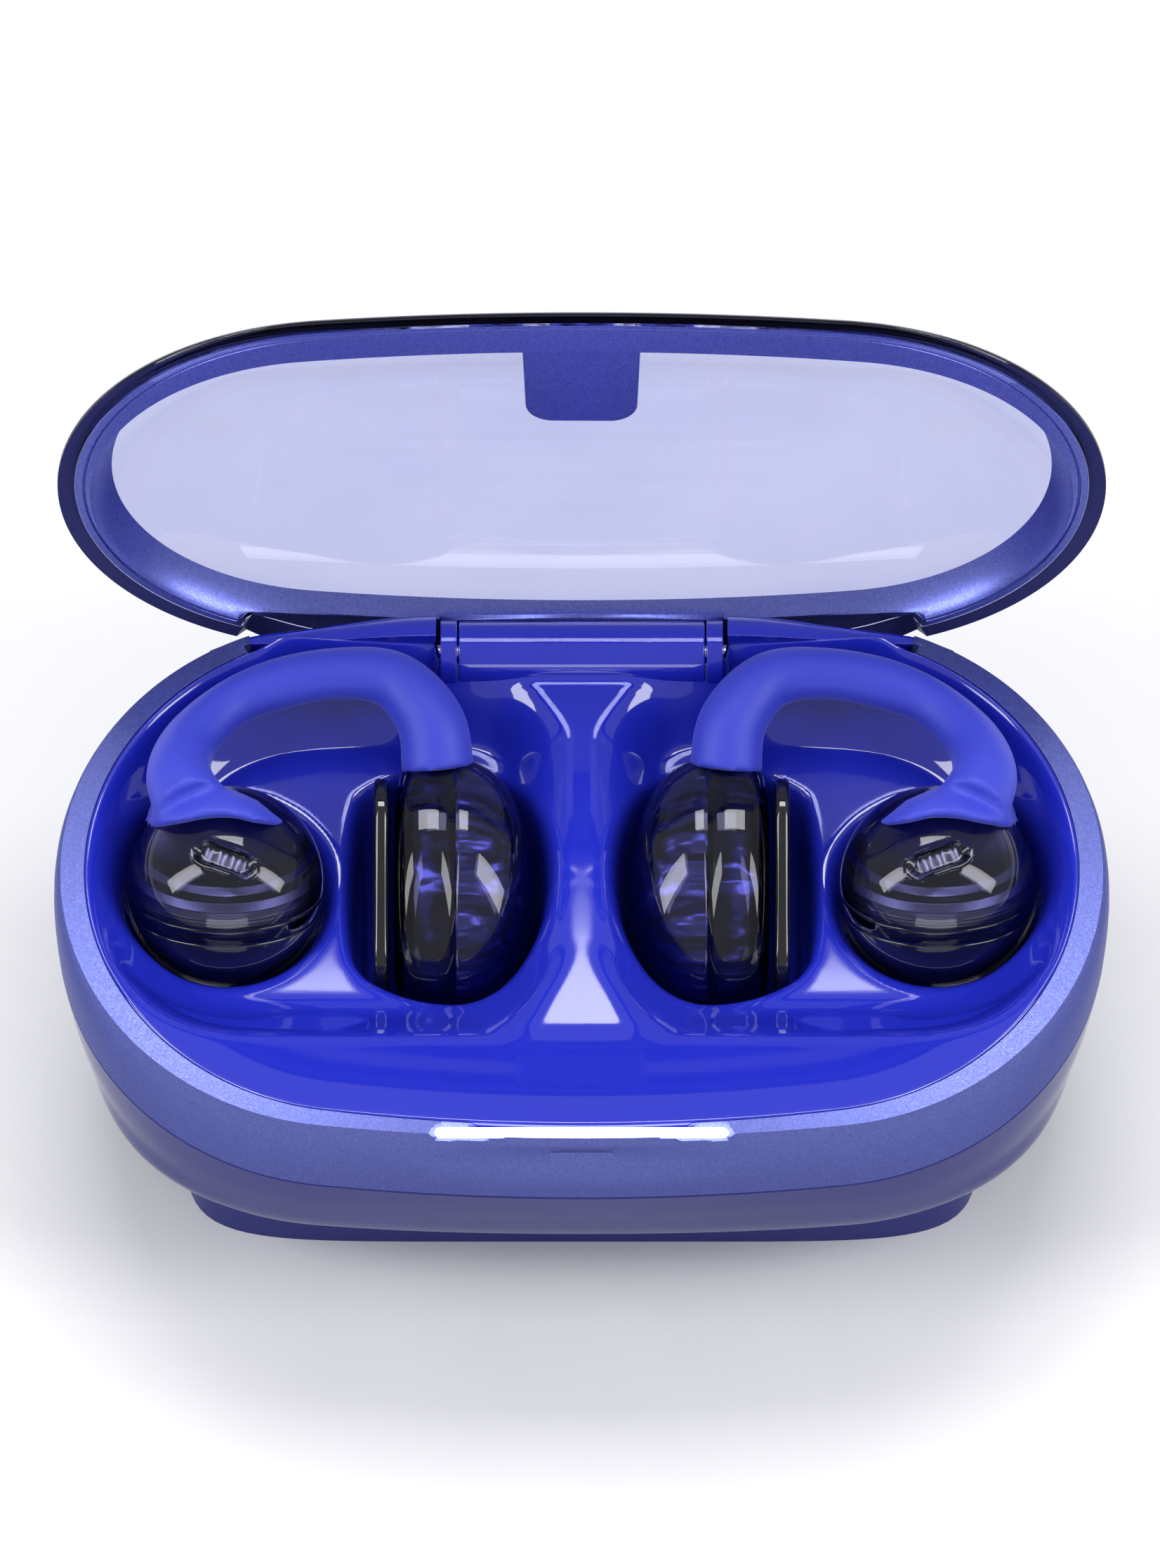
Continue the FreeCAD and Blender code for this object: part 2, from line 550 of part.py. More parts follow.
def dome(inset):
    """The lid's pillow shape, its skin moved in by a wall."""
    levels = []
    for front, back, side, height in DOME_STEPS:
        middle, lower = (front + back) / 2 + inset * 0.9, inset * min(1.0, height / 5)
        levels.append((A - side - inset * 0.9, B - middle, R - middle,
                       LID_FOOT + height - lower, (front - back) / 2))
    if inset:
        levels = levels[:-1]
    return oval_loft(levels)


def knuckle_relief():
    """The groove along the lid's back edge that clears the shoulders and the knuckle."""
    reach = size("shoulder_end") + 0.6
    return hinge_cylinder(size("knuckle_outer"), -reach, reach)


def make_lid():
    """Dome, liner ring, latch tab with its magnet, and the knuckle."""
    wall = size("lid_wall")
    below = plain_box((-A, A), (-B, B), (LID_FOOT - 3, LID_FOOT))
    inner = dome(wall)
    plug = oval_prism(A - wall * 0.9, B - wall * 0.9, R - wall * 0.9, LID_FOOT - 1, LID_FOOT)
    shell = dome(0).cut(inner.fuse(plug)).cut(knuckle_relief()).cut(below)
    feature("lid_dome", shell, LID_PLACE)

    height = size("window_height")
    mouth_a, mouth_b = size("liner_mouth_half_length"), size("liner_mouth_half_depth")
    window_a, window_b = size("window_half_length"), size("window_half_depth")
    low, high = LID_FOOT, LID_FOOT + height
    mouth = oval(mouth_a, mouth_b, mouth_b - 1.1, low - 0.01, size("liner_mouth_back"))
    window = oval(window_a, window_b, window_b - 1.1, high + 0.01, size("window_back"))
    hole = Part.makeLoft([mouth, window], True, True)
    slab = plain_box((-A, A), (-B, B), (low, high))
    liner = inner.common(slab).cut(hole).cut(knuckle_relief())
    feature("lid_liner", liner, LID_PLACE)

    half = size("tab_width") / 2
    tab = plain_box((-half, half), (-size("tab_root"), -size("tab_end")),
                    (low, low + size("tab_thickness")))
    tip = [edge for edge in tab.Edges if abs(edge.Vertexes[0].Z - edge.Vertexes[1].Z) > 1e-6
           and edge.BoundBox.YMin > -size("tab_end") - 0.1]
    tab = tab.makeFillet(size("tab_corner"), tip).cut(liner)
    magnet = Part.makeCylinder(size("lid_magnet_radius"), size("lid_magnet_thickness"),
                               V(0, size("magnet_back"), low + 0.4))
    feature("latch_tab", tab.cut(magnet), LID_PLACE)
    feature("lid_magnet", magnet, LID_PLACE)

    half, cheek = size("knuckle_half"), size("cheek_inner")
    outer = size("knuckle_outer")
    knuckle = sector(size("knuckle_inner"), outer, 20, 110, -half, half)
    for x_low, x_high in ((-half, -cheek), (cheek, half)):
        knuckle = knuckle.fuse(hinge_cylinder(size("roll_radius"), x_low, x_high))
        knuckle = knuckle.fuse(sector(0.5, size("knuckle_inner") + 0.1, 35, 95, x_low, x_high))
    bore = hinge_cylinder(size("pin_radius") + 0.05, -half - 1, half + 1)
    feature("hinge_knuckle", knuckle.cut(bore), LID_PLACE)

    pin_half = size("pin_length") / 2
    pin = doc.addObject("Part::Cylinder", "hinge_pin")
    pin.Label = "hinge_pin"
    pin.setExpression("Radius", "Sizes.pin_radius")
    pin.setExpression("Height", "Sizes.pin_length")
    pin.Placement = at(-pin_half, HINGE_Y, HINGE_Z, V(0, 1, 0), 90)
    node(pin)


# ---------------------------------------------------------------- earbuds
def circle_wire(point, direction, radius):
    """A circle across the bridge, its seam on top, so that neighbours never twist."""
    turn = FreeCAD.Rotation(V(0, 0, 1), V(0, 0, 0), direction, "ZXY")
    return Part.Wire([placed(Part.makeCircle(radius), FreeCAD.Placement(point, turn))])


def bridge_tube(radius=None, last=None):
    """A smooth tube along the bridge's middle line, with its own radii or one radius."""
    points = [V(*entry[:3]) for entry in BRIDGE][:last]
    wires = []
    for index, point in enumerate(points):
        before, after = points[max(index - 1, 0)], points[min(index + 1, len(points) - 1)]
        wires.append(circle_wire(point, after - before, radius or BRIDGE[index][3]))
    return Part.makeLoft(wires, True, False)


def sound_slot(length, width, low, high):
    """An upright slot through the top of the speaker shell, with round ends."""
    middle = length / 2 - width / 2
    slot = plain_box((-middle, middle), (-width / 2, width / 2), (low, high))
    for x in (-middle, middle):
        slot = slot.fuse(Part.makeCylinder(width / 2, high - low, V(x, 0, low)))
    slot = slot.removeSplitter()
    slot.rotate(V(0, 0, 0), V(0, 0, 1), 20)
    slot.rotate(V(0, 0, 0), V(1, 0, 0), size("slot_lean"))
    slot.translate(SPEAKER_CENTRE)
    return slot


def make_earbud(side):
    """Every piece of one earbud; side is -1 for the left one and 1 for the right one."""
    prefix = "left_" if side < 0 else "right_"

    def add(name, shape):
        """Keep a right-hand shape, mirrored for the left earbud."""
        feature(prefix + name, shape if side > 0 else shape.mirror(V(0, 0, 0), V(1, 0, 0)))

    wall = size("pod_wall")
    (dome_out, drum_out), (dome_in, drum_in) = pod_body(0), pod_body(wall)
    pads = [Part.makeCylinder(size("contact_radius"), size("contact_thickness") + 0.6,
                              V(x, y, pad_bottom())) for x, y in pin_places() if x > 0]
    inner_half = placed(dome_out.cut(dome_in), POD_PLACE).cut(Part.makeCompound(pads))
    stem_hole = Part.makeCylinder(size("stem_hole_radius"), 2, V(size("pod_face") - 1.2, 0, 0),
                                  V(1, 0, 0))
    outer_half = placed(drum_out.cut(drum_in).cut(stem_hole), POD_PLACE)
    outer_half = outer_half.cut(Part.makeCompound(pads))
    add("pod_inner_shell", inner_half)
    add("pod_outer_shell", outer_half)
    cavity = placed(dome_in.fuse(drum_in), POD_PLACE)
    add("contact_pads", Part.makeCompound([pad.cut(cavity) for pad in pads]))

    face = size("pod_face")
    button = button_solid(0)
    stem = Part.makeCylinder(size("stem_radius"), size("stem_length"),
                             V(face + size("button_gap") - size("stem_length"), 0, 0), V(1, 0, 0))
    add("button_plate", placed(button.fuse(stem), POD_PLACE))
    switch_face = face + size("button_gap") - size("stem_length") - 0.33
    switch = Part.makeCylinder(size("switch_radius"), size("switch_height"),
                               V(switch_face - size("switch_height"), 0, 0), V(1, 0, 0))
    add("button_switch", placed(switch, POD_PLACE))
    board_face = switch_face - size("switch_height")
    half_l, half_d = size("pod_board_length") / 2, size("pod_board_depth") / 2
    board = plain_box((board_face - size("pod_board_thickness"), board_face),
                      (-half_l, half_l), (-half_d, half_d))
    add("pod_board", placed(board, POD_PLACE))
    half = size("pod_cell_length") / 2
    cell_x = board_face - size("pod_board_thickness") - size("pod_cell_radius") - 0.15
    cell = Part.makeCylinder(size("pod_cell_radius"), 2 * half, V(cell_x, 0.3 - half, 0), V(0, 1, 0))
    add("pod_cell", placed(cell, POD_PLACE))
    magnet = Part.makeCylinder(1.2, 1.0, V(-0.3, -5.2, -2.2))
    add("pod_magnet", placed(magnet, POD_PLACE))
    add("microphone", placed(plain_box((-1, 1), (5.0, 6.8), (-0.7, 0.7)), POD_PLACE))

    radius = size("speaker_radius")
    ball = Part.makeSphere(radius, SPEAKER_CENTRE)
    view = FreeCAD.Rotation(V(1, 0, 0), 29.5)
    patch = plain_box((-4.4, 6.0), (4.0, 8.2), (0.0, 8.2))
    edges = [edge for edge in patch.Edges if abs(edge.Vertexes[0].Z - edge.Vertexes[1].Z) > 1e-6]
    patch = placed(patch.makeFillet(1.4, edges), FreeCAD.Placement(SPEAKER_CENTRE, view))
    saddle = Part.makeSphere(radius + size("saddle_thickness"), SPEAKER_CENTRE).common(patch)
    pod_solid = placed(dome_out.fuse(drum_out), POD_PLACE)
    wire = bridge_tube(size("wire_radius"), -1).cut(pod_solid).cut(ball)
    sleeve = bridge_tube().fuse(saddle).cut(ball).cut(pod_solid).cut(wire)
    sleeve = max(sleeve.Solids, key=lambda solid: solid.Volume)
    add("bridge_sleeve", sleeve)
    add("bridge_wire", max(wire.Solids, key=lambda solid: solid.Volume))

    inner = radius - size("speaker_wall")
    skin = Part.makeSphere(radius).cut(Part.makeSphere(inner))
    top, bottom, big = size("ring_top"), size("ring_bottom"), radius + 1
    slot = sound_slot(size("slot_length"), size("slot_width"), inner - 0.6, radius + 1)
    shell = placed(skin.common(plain_box((-big, big), (-big, big), (top, big))), SPEAKER_PLACE)
    add("speaker_shell", shell.cut(slot))
    ring = skin.common(plain_box((-big, big), (-big, big), (bottom, top)))
    add("speaker_ring", placed(ring, SPEAKER_PLACE))
    cap = skin.common(plain_box((-big, big), (-big, big), (-big, bottom)))
    add("speaker_cap", placed(cap, SPEAKER_PLACE))
    driver = Part.makeCylinder(size("driver_radius"), size("driver_thickness"), V(0, 0, bottom))
    add("speaker_driver", placed(driver, SPEAKER_PLACE))
    level = inner + 0.1
    grille = sound_slot(size("slot_length"), size("slot_width"), level,
                        level + size("grille_thickness"))
    turn = FreeCAD.Rotation(V(1, 0, 0), size("slot_lean")).multiply(FreeCAD.Rotation(V(0, 0, 1), 20))
    for step in (-1.5, -0.5, 0.5, 1.5):
        base = SPEAKER_CENTRE + turn.multVec(V(step * 0.95, 0, level - 1))
        grille = grille.cut(Part.makeCylinder(0.33, 3, base, turn.multVec(V(0, 0, 1))))
    add("sound_grille", grille)


# ---------------------------------------------------------------- build
make_foot_plate()
make_base_shell()
make_trim_band()
make_light_bar()
make_inner_tray()
make_electronics()
make_lid()
for earbud_side in (-1, 1):
    make_earbud(earbud_side)

doc.recompute()
for obj in doc.Objects:
    if "Invalid" in obj.State or "Error" in obj.State:
        raise RuntimeError("%s failed: %s" % (obj.Name, obj.State))
os.makedirs("parts", exist_ok=True)
for obj in NODES:
    if obj.Shape.isNull() or not obj.Shape.isValid():
        raise RuntimeError("%s has no valid shape" % obj.Label)
    obj.Shape.exportStep("parts/%s.step" % obj.Label)
    box = obj.Shape.BoundBox
    print("%-24s %2d solids %9.2f mm3  x %.1f %.1f y %.1f %.1f z %.1f %.1f" % (
        obj.Label, len(obj.Shape.Solids), obj.Shape.Volume, box.XMin, box.XMax, box.YMin,
        box.YMax, box.ZMin, box.ZMax))
print("%d sub-parts" % len(NODES))
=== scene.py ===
"""A pocket charging case with a see-through lid and two clip earbuds, dressed for its picture."""

import json
import logging
import math
from dataclasses import dataclass, field
from enum import Enum
from typing import Callable, Iterable, Optional, Sequence

import bmesh
import bpy
from mathutils import Matrix, Vector

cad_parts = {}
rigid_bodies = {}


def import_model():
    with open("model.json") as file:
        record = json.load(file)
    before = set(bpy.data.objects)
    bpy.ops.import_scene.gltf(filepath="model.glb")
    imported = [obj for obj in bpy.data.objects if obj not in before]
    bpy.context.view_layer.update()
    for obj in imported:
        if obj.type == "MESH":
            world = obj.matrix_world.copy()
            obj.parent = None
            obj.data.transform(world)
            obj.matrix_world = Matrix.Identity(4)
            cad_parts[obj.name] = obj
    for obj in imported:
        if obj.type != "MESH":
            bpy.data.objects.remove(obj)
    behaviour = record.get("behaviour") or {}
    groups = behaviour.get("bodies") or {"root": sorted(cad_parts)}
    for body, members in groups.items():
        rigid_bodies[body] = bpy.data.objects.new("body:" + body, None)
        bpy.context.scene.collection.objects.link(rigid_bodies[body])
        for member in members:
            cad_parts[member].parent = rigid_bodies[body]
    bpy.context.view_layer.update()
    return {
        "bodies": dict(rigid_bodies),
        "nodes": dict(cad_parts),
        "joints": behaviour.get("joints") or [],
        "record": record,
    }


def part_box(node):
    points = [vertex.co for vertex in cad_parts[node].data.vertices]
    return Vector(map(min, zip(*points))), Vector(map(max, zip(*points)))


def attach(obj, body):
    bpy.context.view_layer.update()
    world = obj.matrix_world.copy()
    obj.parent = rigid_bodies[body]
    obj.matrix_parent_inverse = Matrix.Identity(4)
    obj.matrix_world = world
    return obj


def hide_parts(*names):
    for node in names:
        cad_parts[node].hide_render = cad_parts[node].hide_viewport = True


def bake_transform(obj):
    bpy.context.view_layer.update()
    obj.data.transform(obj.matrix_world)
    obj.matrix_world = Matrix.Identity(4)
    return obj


log = logging.getLogger("charging_case")
MM = 0.001
Shape = Callable[[float, float], Vector]
Colour = tuple[float, float, float]
Span = tuple[float, float]

POD_CENTRE = (8.9, 1.73, 22.5)
POD_TILT = 25.0
BALL_CENTRE = (25.2, 0.9, 24.5)


class Side(Enum):
    """Which earbud: the left one is the right one's mirror image."""

    LEFT = "left"
    RIGHT = "right"

    @property
    def sign(self) -> int:
        """-1 for the left earbud and 1 for the right one."""
        return -1 if self is Side.LEFT else 1

    def named(self, part: str) -> str:
        """A part's name with its side in front."""
        return f"{self.value}_{part}"


# ---------------------------------------------------------------- small sums
def ease(share: float) -> float:
    """A smooth step from 0 to 1."""
    share = min(1.0, max(0.0, share))
    return share * share * (3 - 2 * share)


def mix(low: float, high: float, share: float) -> float:
    """A value between two others."""
    return low + (high - low) * share


def soft_min(one: float, other: float, reach: float) -> float:
    """The lower of two values, rounded where they meet.

    Args:
        one: a value.
        other: the value that it meets.
        reach: how far apart they are where the rounding starts.

    Returns:
        The rounded lower value.
    """
    share = min(1.0, max(0.0, 0.5 + (other - one) / (2 * reach)))
    return mix(other, one, share) - reach * share * (1 - share)


def soft_max(one: float, other: float, reach: float) -> float:
    """The higher of two values, rounded where they meet."""
    return -soft_min(-one, -other, reach)


def along(points: Sequence[Sequence[float]], share: float) -> list[float]:
    """A smooth curve through rows of numbers.

    Args:
        points: the rows that the curve goes through.
        share: how far along, from 0 to 1.

    Returns:
        The row at that place.
    """
    last = len(points) - 1
    place = min(max(share, 0.0), 1.0) * last
    index = min(int(place), last - 1)
    t = place - index
    rows = [points[min(max(index + step, 0), last)] for step in (-1, 0, 1, 2)]
    out = []
    for before, start, end, after in zip(*rows):
        lean, rise = (end - before) / 2, (after - start) / 2
        out.append((2 * t**3 - 3 * t**2 + 1) * start + (t**3 - 2 * t**2 + t) * lean
                   + (3 * t**2 - 2 * t**3) * end + (t**3 - t**2) * rise)
    return out


@dataclass(frozen=True)
class Oval:
    """A level four-arc oval, in millimetres: two end arcs joined by two long ones."""

    length: float
    depth: float
    end: float
    height: float = 0.0
    back: float = 0.0

    @property
    def arcs(self) -> tuple[float, float, float, float]:
        """The end centre's X, the long arc's radius and centre, and the angle where they join."""
        end_x = self.length - self.end
        long = (end_x**2 + self.depth**2 - self.end**2) / (2 * (self.depth - self.end))
        rise = long - self.depth
        return end_x, long, rise, math.atan2(rise, end_x)

    def point(self, share: float) -> Vector:
        """A point on the oval.

        Args:
            share: the share of the way round, from +X.

        Returns:
            The point.
        """
        end_x, long, rise, join = self.arcs
        bend = self.end * join
        quarter = bend + long * (math.pi / 2 - join)
        turn = (share % 1.0) * 4
        corner = min(int(turn), 3)
        way = turn - corner
        way = quarter * (1 - way if corner in (1, 3) else way)
        if way < bend:
            angle = way / self.end
            x, y = end_x + self.end * math.cos(angle), self.end * math.sin(angle)
        else:
            angle = join + (way - bend) / long
            x, y = long * math.cos(angle), long * math.sin(angle) - rise
        if corner in (1, 2):
            x = -x
        if corner in (2, 3):
            y = -y
        return Vector((x, y + self.back, self.height))

    def inside(self, x: float, y: float) -> float:
        """How far inside the oval a point is."""
        end_x, long, rise, join = self.arcs
        x, y = abs(x), abs(y)
        if math.atan2(y, x - end_x) < join:
            return self.end - math.hypot(x - end_x, y)
        return long - math.hypot(x, y + rise)

    def grown(self, offset: float, height: float) -> "Oval":
        """The same oval moved outwards, at another height."""
        return Oval(self.length + offset, self.depth + offset, self.end + offset, height,
                    self.back)


# ---------------------------------------------------------------- meshes
def patch(shape: Shape, columns: int, rows: int) -> bmesh.types.BMesh:
    """A grid laid over a shape, its seams and poles merged.

    Args:
        shape: the place, in millimetres, of a point whose two shares run from 0 to 1.
        columns: faces along the first share.
        rows: faces along the second share.

    Returns:
        The mesh, in millimetres.
    """
    mesh = bmesh.new()
    bmesh.ops.create_grid(mesh, x_segments=columns, y_segments=rows, size=0.5)
    for vert in mesh.verts:
        vert.co = shape(vert.co.x + 0.5, vert.co.y + 0.5)
    bmesh.ops.remove_doubles(mesh, verts=mesh.verts, dist=1e-4)
    bmesh.ops.dissolve_degenerate(mesh, edges=mesh.edges, dist=1e-5)
    return mesh


def rings(ovals: Sequence[Oval], columns: int = 220, closed: bool = True) -> bmesh.types.BMesh:
    """A skin through ovals.

    Args:
        ovals: the ovals, in order.
        columns: faces round each of them.
        closed: whether the skin comes back to the first one.

    Returns:
        The mesh, in millimetres.
    """
    rows = len(ovals) if closed else len(ovals) - 1

    def shape(around: float, up: float) -> Vector:
        """The point on the nearest oval."""
        return ovals[round(up * rows) % len(ovals)].point(around)

    return patch(shape, columns, rows)


def bar(x: Span, y: Span, z: Span, round_edge: float, segments: int = 3) -> bmesh.types.BMesh:
    """A box between limits, with every edge rounded.

    Args:
        x: its lower and upper limit along X, and so on for the others.
        y: its limits along Y.
        z: its limits along Z.
        round_edge: the radius of its edges.
        segments: how fine the rounding is.

    Returns:
        The mesh, in millimetres.
    """
    mesh = bmesh.new()
    bmesh.ops.create_cube(mesh, size=1.0)
    sizes = [high - low for low, high in (x, y, z)]
    middle = [(high + low) / 2 for low, high in (x, y, z)]
    bmesh.ops.transform(mesh, verts=mesh.verts,
                        matrix=Matrix.Translation(middle) @ Matrix.Diagonal((*sizes, 1)))
    bmesh.ops.bevel(mesh, geom=mesh.edges[:], offset=round_edge, offset_type="OFFSET",
                    segments=segments, profile=0.5, affect="EDGES", material=-1)
    return mesh


def rod(x: Span, y: float, z: float, radius: float) -> bmesh.types.BMesh:
    """A round bar along X.

    Args:
        x: where it starts and ends.
        y: its axis's Y.
        z: its axis's Z.
        radius: its radius.

    Returns:
        The mesh, in millimetres.
    """
    mesh = bmesh.new()
    bmesh.ops.create_cone(mesh, cap_ends=True, segments=64, radius1=radius, radius2=radius,
                          depth=x[1] - x[0])
    place = Matrix.Translation(((x[0] + x[1]) / 2, y, z)) @ Matrix.Rotation(math.pi / 2, 4, "Y")
    bmesh.ops.transform(mesh, verts=mesh.verts, matrix=place)
    return mesh


def round_corners(mesh: bmesh.types.BMesh, corners: Sequence[bmesh.types.BMEdge], radius: float,
                  segments: int) -> None:
    """Rounds chosen edges of a flat plate."""
    bmesh.ops.bevel(mesh, geom=corners, offset=radius, offset_type="OFFSET", segments=segments,
                    profile=0.5, affect="EDGES", material=-1)


def join(mesh: bmesh.types.BMesh, other: bmesh.types.BMesh) -> bmesh.types.BMesh:
    """Adds another mesh to a mesh; the other one is used up."""
    carrier = bpy.data.meshes.new("carrier")
    other.to_mesh(carrier)
    other.free()
    mesh.from_mesh(carrier)
    bpy.data.meshes.remove(carrier)
    return mesh


def close_level(mesh: bmesh.types.BMesh, height: float) -> None:
    """Closes the open loop that lies at a height."""
    loop = [edge for edge in mesh.edges if edge.is_boundary
            and abs(edge.verts[0].co.z - height) < 1e-3]
    bmesh.ops.contextual_create(mesh, geom=loop)


def square_off(place: Vector, level: Oval, power: float, share: float, most: float,
               least: float = 0.0) -> None:
    """Draws a point out towards the corners of a squarer oval.

    Args:
        place: the point, which is moved.
        level: the oval that the point is on or near.
        power: how square, 2 for an ellipse and more for a squarer one.
        share: how far it is drawn out, from 0 to 1.
        most: the most that it may be drawn out by.
        least: how near the edge a point has to be, from 0 to 1.
    """
    reach = (abs(place.x / level.length) ** power
             + abs(place.y / level.depth) ** power) ** (1 / power)
    if reach > least:
        grow = mix(1.0, min(max(1 / reach, 1.0), most), share)
        place.x *= grow
        place.y *= grow


def face_out(mesh: bmesh.types.BMesh, up: bool = False) -> None:
    """Turns faces outwards; an open skin is turned so that its middle looks up."""
    bmesh.ops.recalc_face_normals(mesh, faces=mesh.faces)
    if up and sum(face.normal.z * face.calc_area() for face in mesh.faces) < 0:
        bmesh.ops.reverse_faces(mesh, faces=mesh.faces)


def piece(name: str, mesh: bmesh.types.BMesh, body: Optional[str], *finishes: bpy.types.Material,
          slot: str = "", replaces: Iterable[str] = ()) -> bpy.types.Object:
    """Makes a mesh in millimetres a smooth piece that rides on a body.

    Args:
        name: the piece's name.
        mesh: its mesh, in millimetres, which is used up.
        body: the body that it rides on, or None where it is left on no body.
        finishes: its materials.
        slot: not used.
        replaces: the nodes that it stands for.

    Returns:
        The new object.
    """
    bmesh.ops.scale(mesh, vec=(MM, MM, MM), verts=mesh.verts)
    for face in mesh.faces:
        face.smooth = True
    data = bpy.data.meshes.new(name)
    mesh.to_mesh(data)
    mesh.free()
    for finish in finishes:
        data.materials.append(finish)
    thing = bpy.data.objects.new(name, data)
    bpy.context.scene.collection.objects.link(thing)
    if body:
        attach(thing, body)
    if replaces:
        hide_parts(*replaces)
    log.info("%s: %d faces", name, len(data.polygons))
    return thing


def bevel(thing: bpy.types.Object, width: float, segments: int = 3, angle: float = 35.0) -> None:
    """Rounds the sharp edges of a piece.

    Args:
        thing: the piece.
        width: how wide the rounding is, in millimetres.
        segments: how fine it is.
        angle: the least angle, in degrees, that counts as sharp.
    """
    step = thing.modifiers.new("rounded edges", "BEVEL")
    step.width, step.segments, step.limit_method = width * MM, segments, "ANGLE"
    step.angle_limit, step.harden_normals = math.radians(angle), True
    step.miter_outer = "MITER_ARC"


def thicken(thing: bpy.types.Object, wall: float, rim: int = 0, even: bool = True) -> None:
    """Gives an open skin a wall on its inner side.

    Args:
        thing: the piece.
        wall: the wall's thickness, in millimetres.
        rim: how many materials further on the rim's own one is.
        even: whether the wall keeps its thickness round sharp bends.
    """
    step = thing.modifiers.new("wall", "SOLIDIFY")
    step.thickness, step.offset, step.use_even_offset = wall * MM, -1.0, even
    step.material_offset_rim = rim


def settle(thing: bpy.types.Object) -> None:
    """Applies a piece's modifiers."""
    bpy.context.view_layer.update()
    seen = thing.evaluated_get(bpy.context.evaluated_depsgraph_get())
    data = bpy.data.meshes.new_from_object(seen)
    thing.modifiers.clear()
    thing.data = data


# ---------------------------------------------------------------- materials
def socket(group: bpy.types.ShaderNodeTree, name: str, way: str, kind: str,
           value: object = None) -> None:
    """Adds a named input or output to a node group."""
    made = group.interface.new_socket(name=name, in_out=way, socket_type=kind)
    if value is not None:
        made.default_value = value


